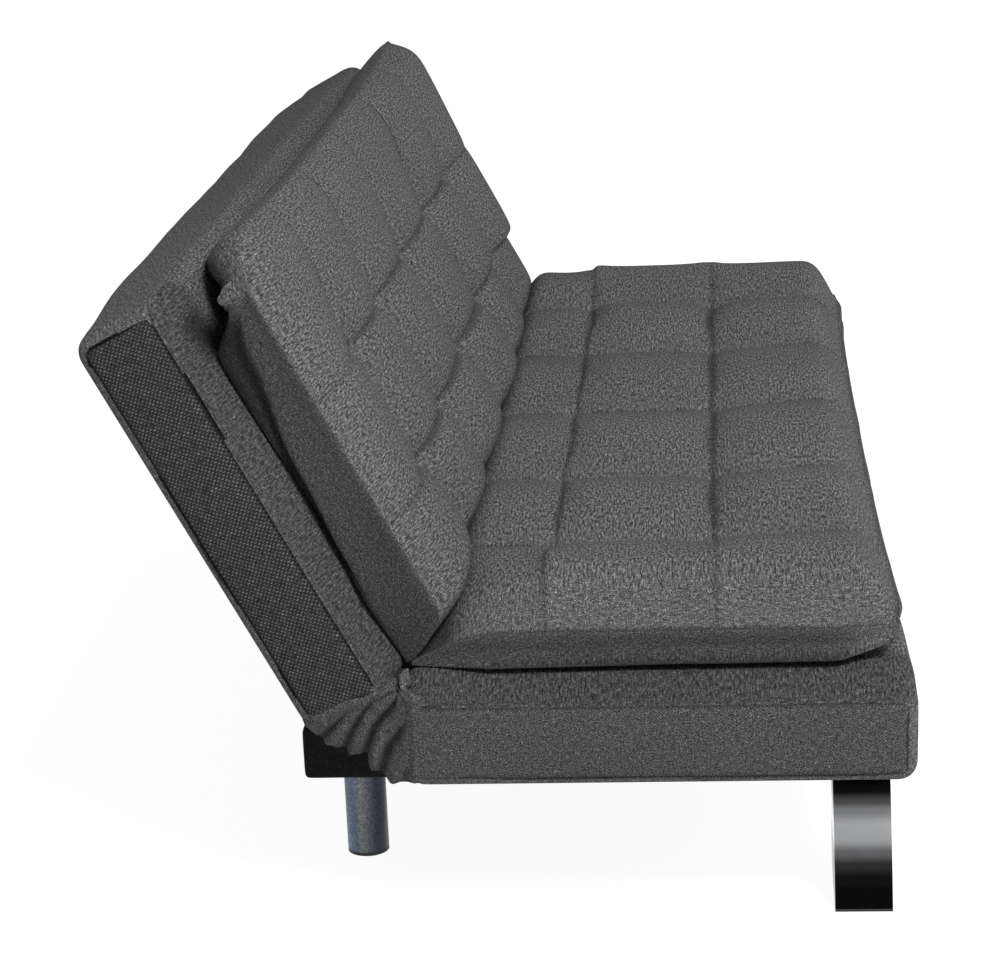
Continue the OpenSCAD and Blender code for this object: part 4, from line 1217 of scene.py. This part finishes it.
class SOFA_OT_legs(bpy.types.Operator):
    """Round the edges of the curved front legs and of the round rear legs"""
    bl_idname = "sofa.legs"
    bl_label = "Legs"

    def execute(self, context):
        finishes = {"front": (smoked_chrome(), "smoked_chrome"), "rear": (leg_paint(), "leg_paint")}
        for end, (material, slot) in finishes.items():
            for side in ("left", "right"):
                node = f"{end}_leg_{side}"
                bm = bmesh.new()
                bm.from_mesh(frame["nodes"][node].data)
                bmesh.ops.remove_doubles(bm, verts=bm.verts, dist=TOUCH)
                bmesh.ops.dissolve_limit(
                    bm, angle_limit=math.radians(1), verts=bm.verts, edges=bm.edges)
                sharp = [edge for edge in bm.edges
                         if len(edge.link_faces) == 2 and edge.calc_face_angle(0) > math.radians(40)]
                bmesh.ops.bevel(
                    bm, geom=sharp, offset=chosen("legs").edge, segments=3, profile=0.5,
                    affect="EDGES", material=-1, clamp_overlap=True)
                make_piece(f"{node}_finished", bm, Matrix.Identity(4), (material,), "seat", (node,))
        return {"FINISHED"}


class SOFA_OT_stage(bpy.types.Operator):
    """Set up the floor, the light and the camera"""
    bl_idname = "sofa.stage"
    bl_label = "Stage"

    def execute(self, context):
        scene = context.scene
        stage = scene.sofa_stage
        bm = bmesh.new()
        bmesh.ops.create_grid(bm, x_segments=1, y_segments=1, size=14)
        mesh = bpy.data.meshes.new("studio_floor")
        bm.to_mesh(mesh)
        bm.free()
        floor = bpy.data.objects.new("studio_floor", mesh)
        scene.collection.objects.link(floor)
        mesh.materials.append(self.pale_floor())
        self.room(scene)
        self.lamp(scene, "key_light", 300, 2.0, (-3.3, -1.9, 4.5), (-0.1, 0.0, 0.35))
        self.lamp(scene, "fill_light", 24, 1.6, (2.0, -2.6, 1.3), (0.6, 0.2, 0.7))
        data = bpy.data.cameras.new("photo_camera")
        data.lens = stage.lens
        data.sensor_width = 36
        data.clip_end = 60
        camera = bpy.data.objects.new("photo_camera", data)
        scene.collection.objects.link(camera)
        camera.matrix_world = (
            Matrix.Translation(stage.place)
            @ Matrix.Rotation(stage.heading - math.pi / 2, 4, "Z")
            @ Matrix.Rotation(math.pi / 2 - stage.tilt, 4, "X")
            @ Matrix.Rotation(stage.roll, 4, "Z"))
        scene.camera = camera
        scene.view_settings.view_transform = "Standard"
        return {"FINISHED"}

    def pale_floor(self):
        """A pale matt floor that looks nearly white to the camera and in mirrors"""
        finish = Finish("Pale Studio Floor")
        finish.give(Base_Color=(0.9, 0.9, 0.9), Roughness=0.9)
        finish.bump(finish.noise(finish.place, 4, 3, 0.5), 0.0004, 0.2)
        glow = finish.feed_all(finish.add("Emission"), Strength=1.3)
        path = finish.add("LightPath").outputs
        seen = finish.math("MAXIMUM", path["Is Glossy Ray"], path["Is Transmission Ray"])
        seen = finish.math("MAXIMUM", path["Is Camera Ray"], seen)
        finish.end_with("Material Output", finish.times(seen, 0.72), finish.shader.outputs[0],
                        glow.outputs[0])
        return finish.material

    def room(self, scene):
        """Even light from all sides in front of a white backdrop"""
        world = bpy.data.worlds.new("pale_room")
        world.use_nodes = True
        scene.world = world
        sky = Shading(world.node_tree)
        light = sky.feed_all(sky.tree.nodes["Background"], Color=(0.98, 0.99, 1.0), Strength=0.27)
        backdrop = sky.feed_all(sky.add("Background"), Color=(1, 1, 1), Strength=1.0)
        path = sky.add("LightPath").outputs
        seen = sky.math("MULTIPLY_ADD", path["Is Glossy Ray"], 0.12, path["Is Camera Ray"])
        sky.end_with("World Output", seen, light.outputs[0], backdrop.outputs[0])

    def lamp(self, scene, name, power, size, spot, aim):
        """A round soft lamp at a spot, turned to its aim"""
        data = bpy.data.lights.new(name, "AREA")
        data.energy = power
        data.shape = "DISK"
        data.size = size
        lamp = bpy.data.objects.new(name, data)
        scene.collection.objects.link(lamp)
        away = Vector(spot) - Vector(aim)
        lamp.matrix_world = Matrix.Translation(spot) @ away.to_track_quat("Z", "Y").to_matrix().to_4x4()


class SOFA_PT_panel(bpy.types.Panel):
    """Buttons that make the sofa piece by piece"""
    bl_label = "Tufted Sofa Bed"
    bl_idname = "SOFA_PT_panel"
    bl_space_type = "VIEW_3D"
    bl_region_type = "UI"
    bl_category = "Sofa"

    def draw(self, context):
        layout = self.layout
        for operator in OPERATORS:
            layout.operator(operator.bl_idname)
        for name in SETTINGS:
            group = getattr(context.scene, name)
            box = layout.box()
            for setting in group.__annotations__:
                box.prop(group, setting)


SETTINGS = {
    "sofa_cloth": ClothSettings,
    "sofa_boxes": BoxSettings,
    "sofa_cushions": CushionSettings,
    "sofa_legs": LegSettings,
    "sofa_stage": StageSettings,
}
OPERATORS = (
    SOFA_OT_finishes,
    SOFA_OT_boxes,
    SOFA_OT_cushions,
    SOFA_OT_webs,
    SOFA_OT_beam,
    SOFA_OT_legs,
    SOFA_OT_stage,
)


def register():
    """Adds the settings, the operators and the panel"""
    for name, settings in SETTINGS.items():
        bpy.utils.register_class(settings)
        setattr(bpy.types.Scene, name, bpy.props.PointerProperty(type=settings))
    for operator in OPERATORS:
        bpy.utils.register_class(operator)
    bpy.utils.register_class(SOFA_PT_panel)


def unregister():
    """Takes them away again"""
    bpy.utils.unregister_class(SOFA_PT_panel)
    for operator in reversed(OPERATORS):
        bpy.utils.unregister_class(operator)
    for name, settings in SETTINGS.items():
        delattr(bpy.types.Scene, name)
        bpy.utils.unregister_class(settings)


def main():
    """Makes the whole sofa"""
    register()
    bpy.ops.sofa.finishes()
    bpy.ops.sofa.boxes()
    bpy.ops.sofa.cushions()
    bpy.ops.sofa.webs()
    bpy.ops.sofa.beam()
    bpy.ops.sofa.legs()
    bpy.ops.sofa.stage()
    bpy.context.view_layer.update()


if __name__ == "__main__":
    main()
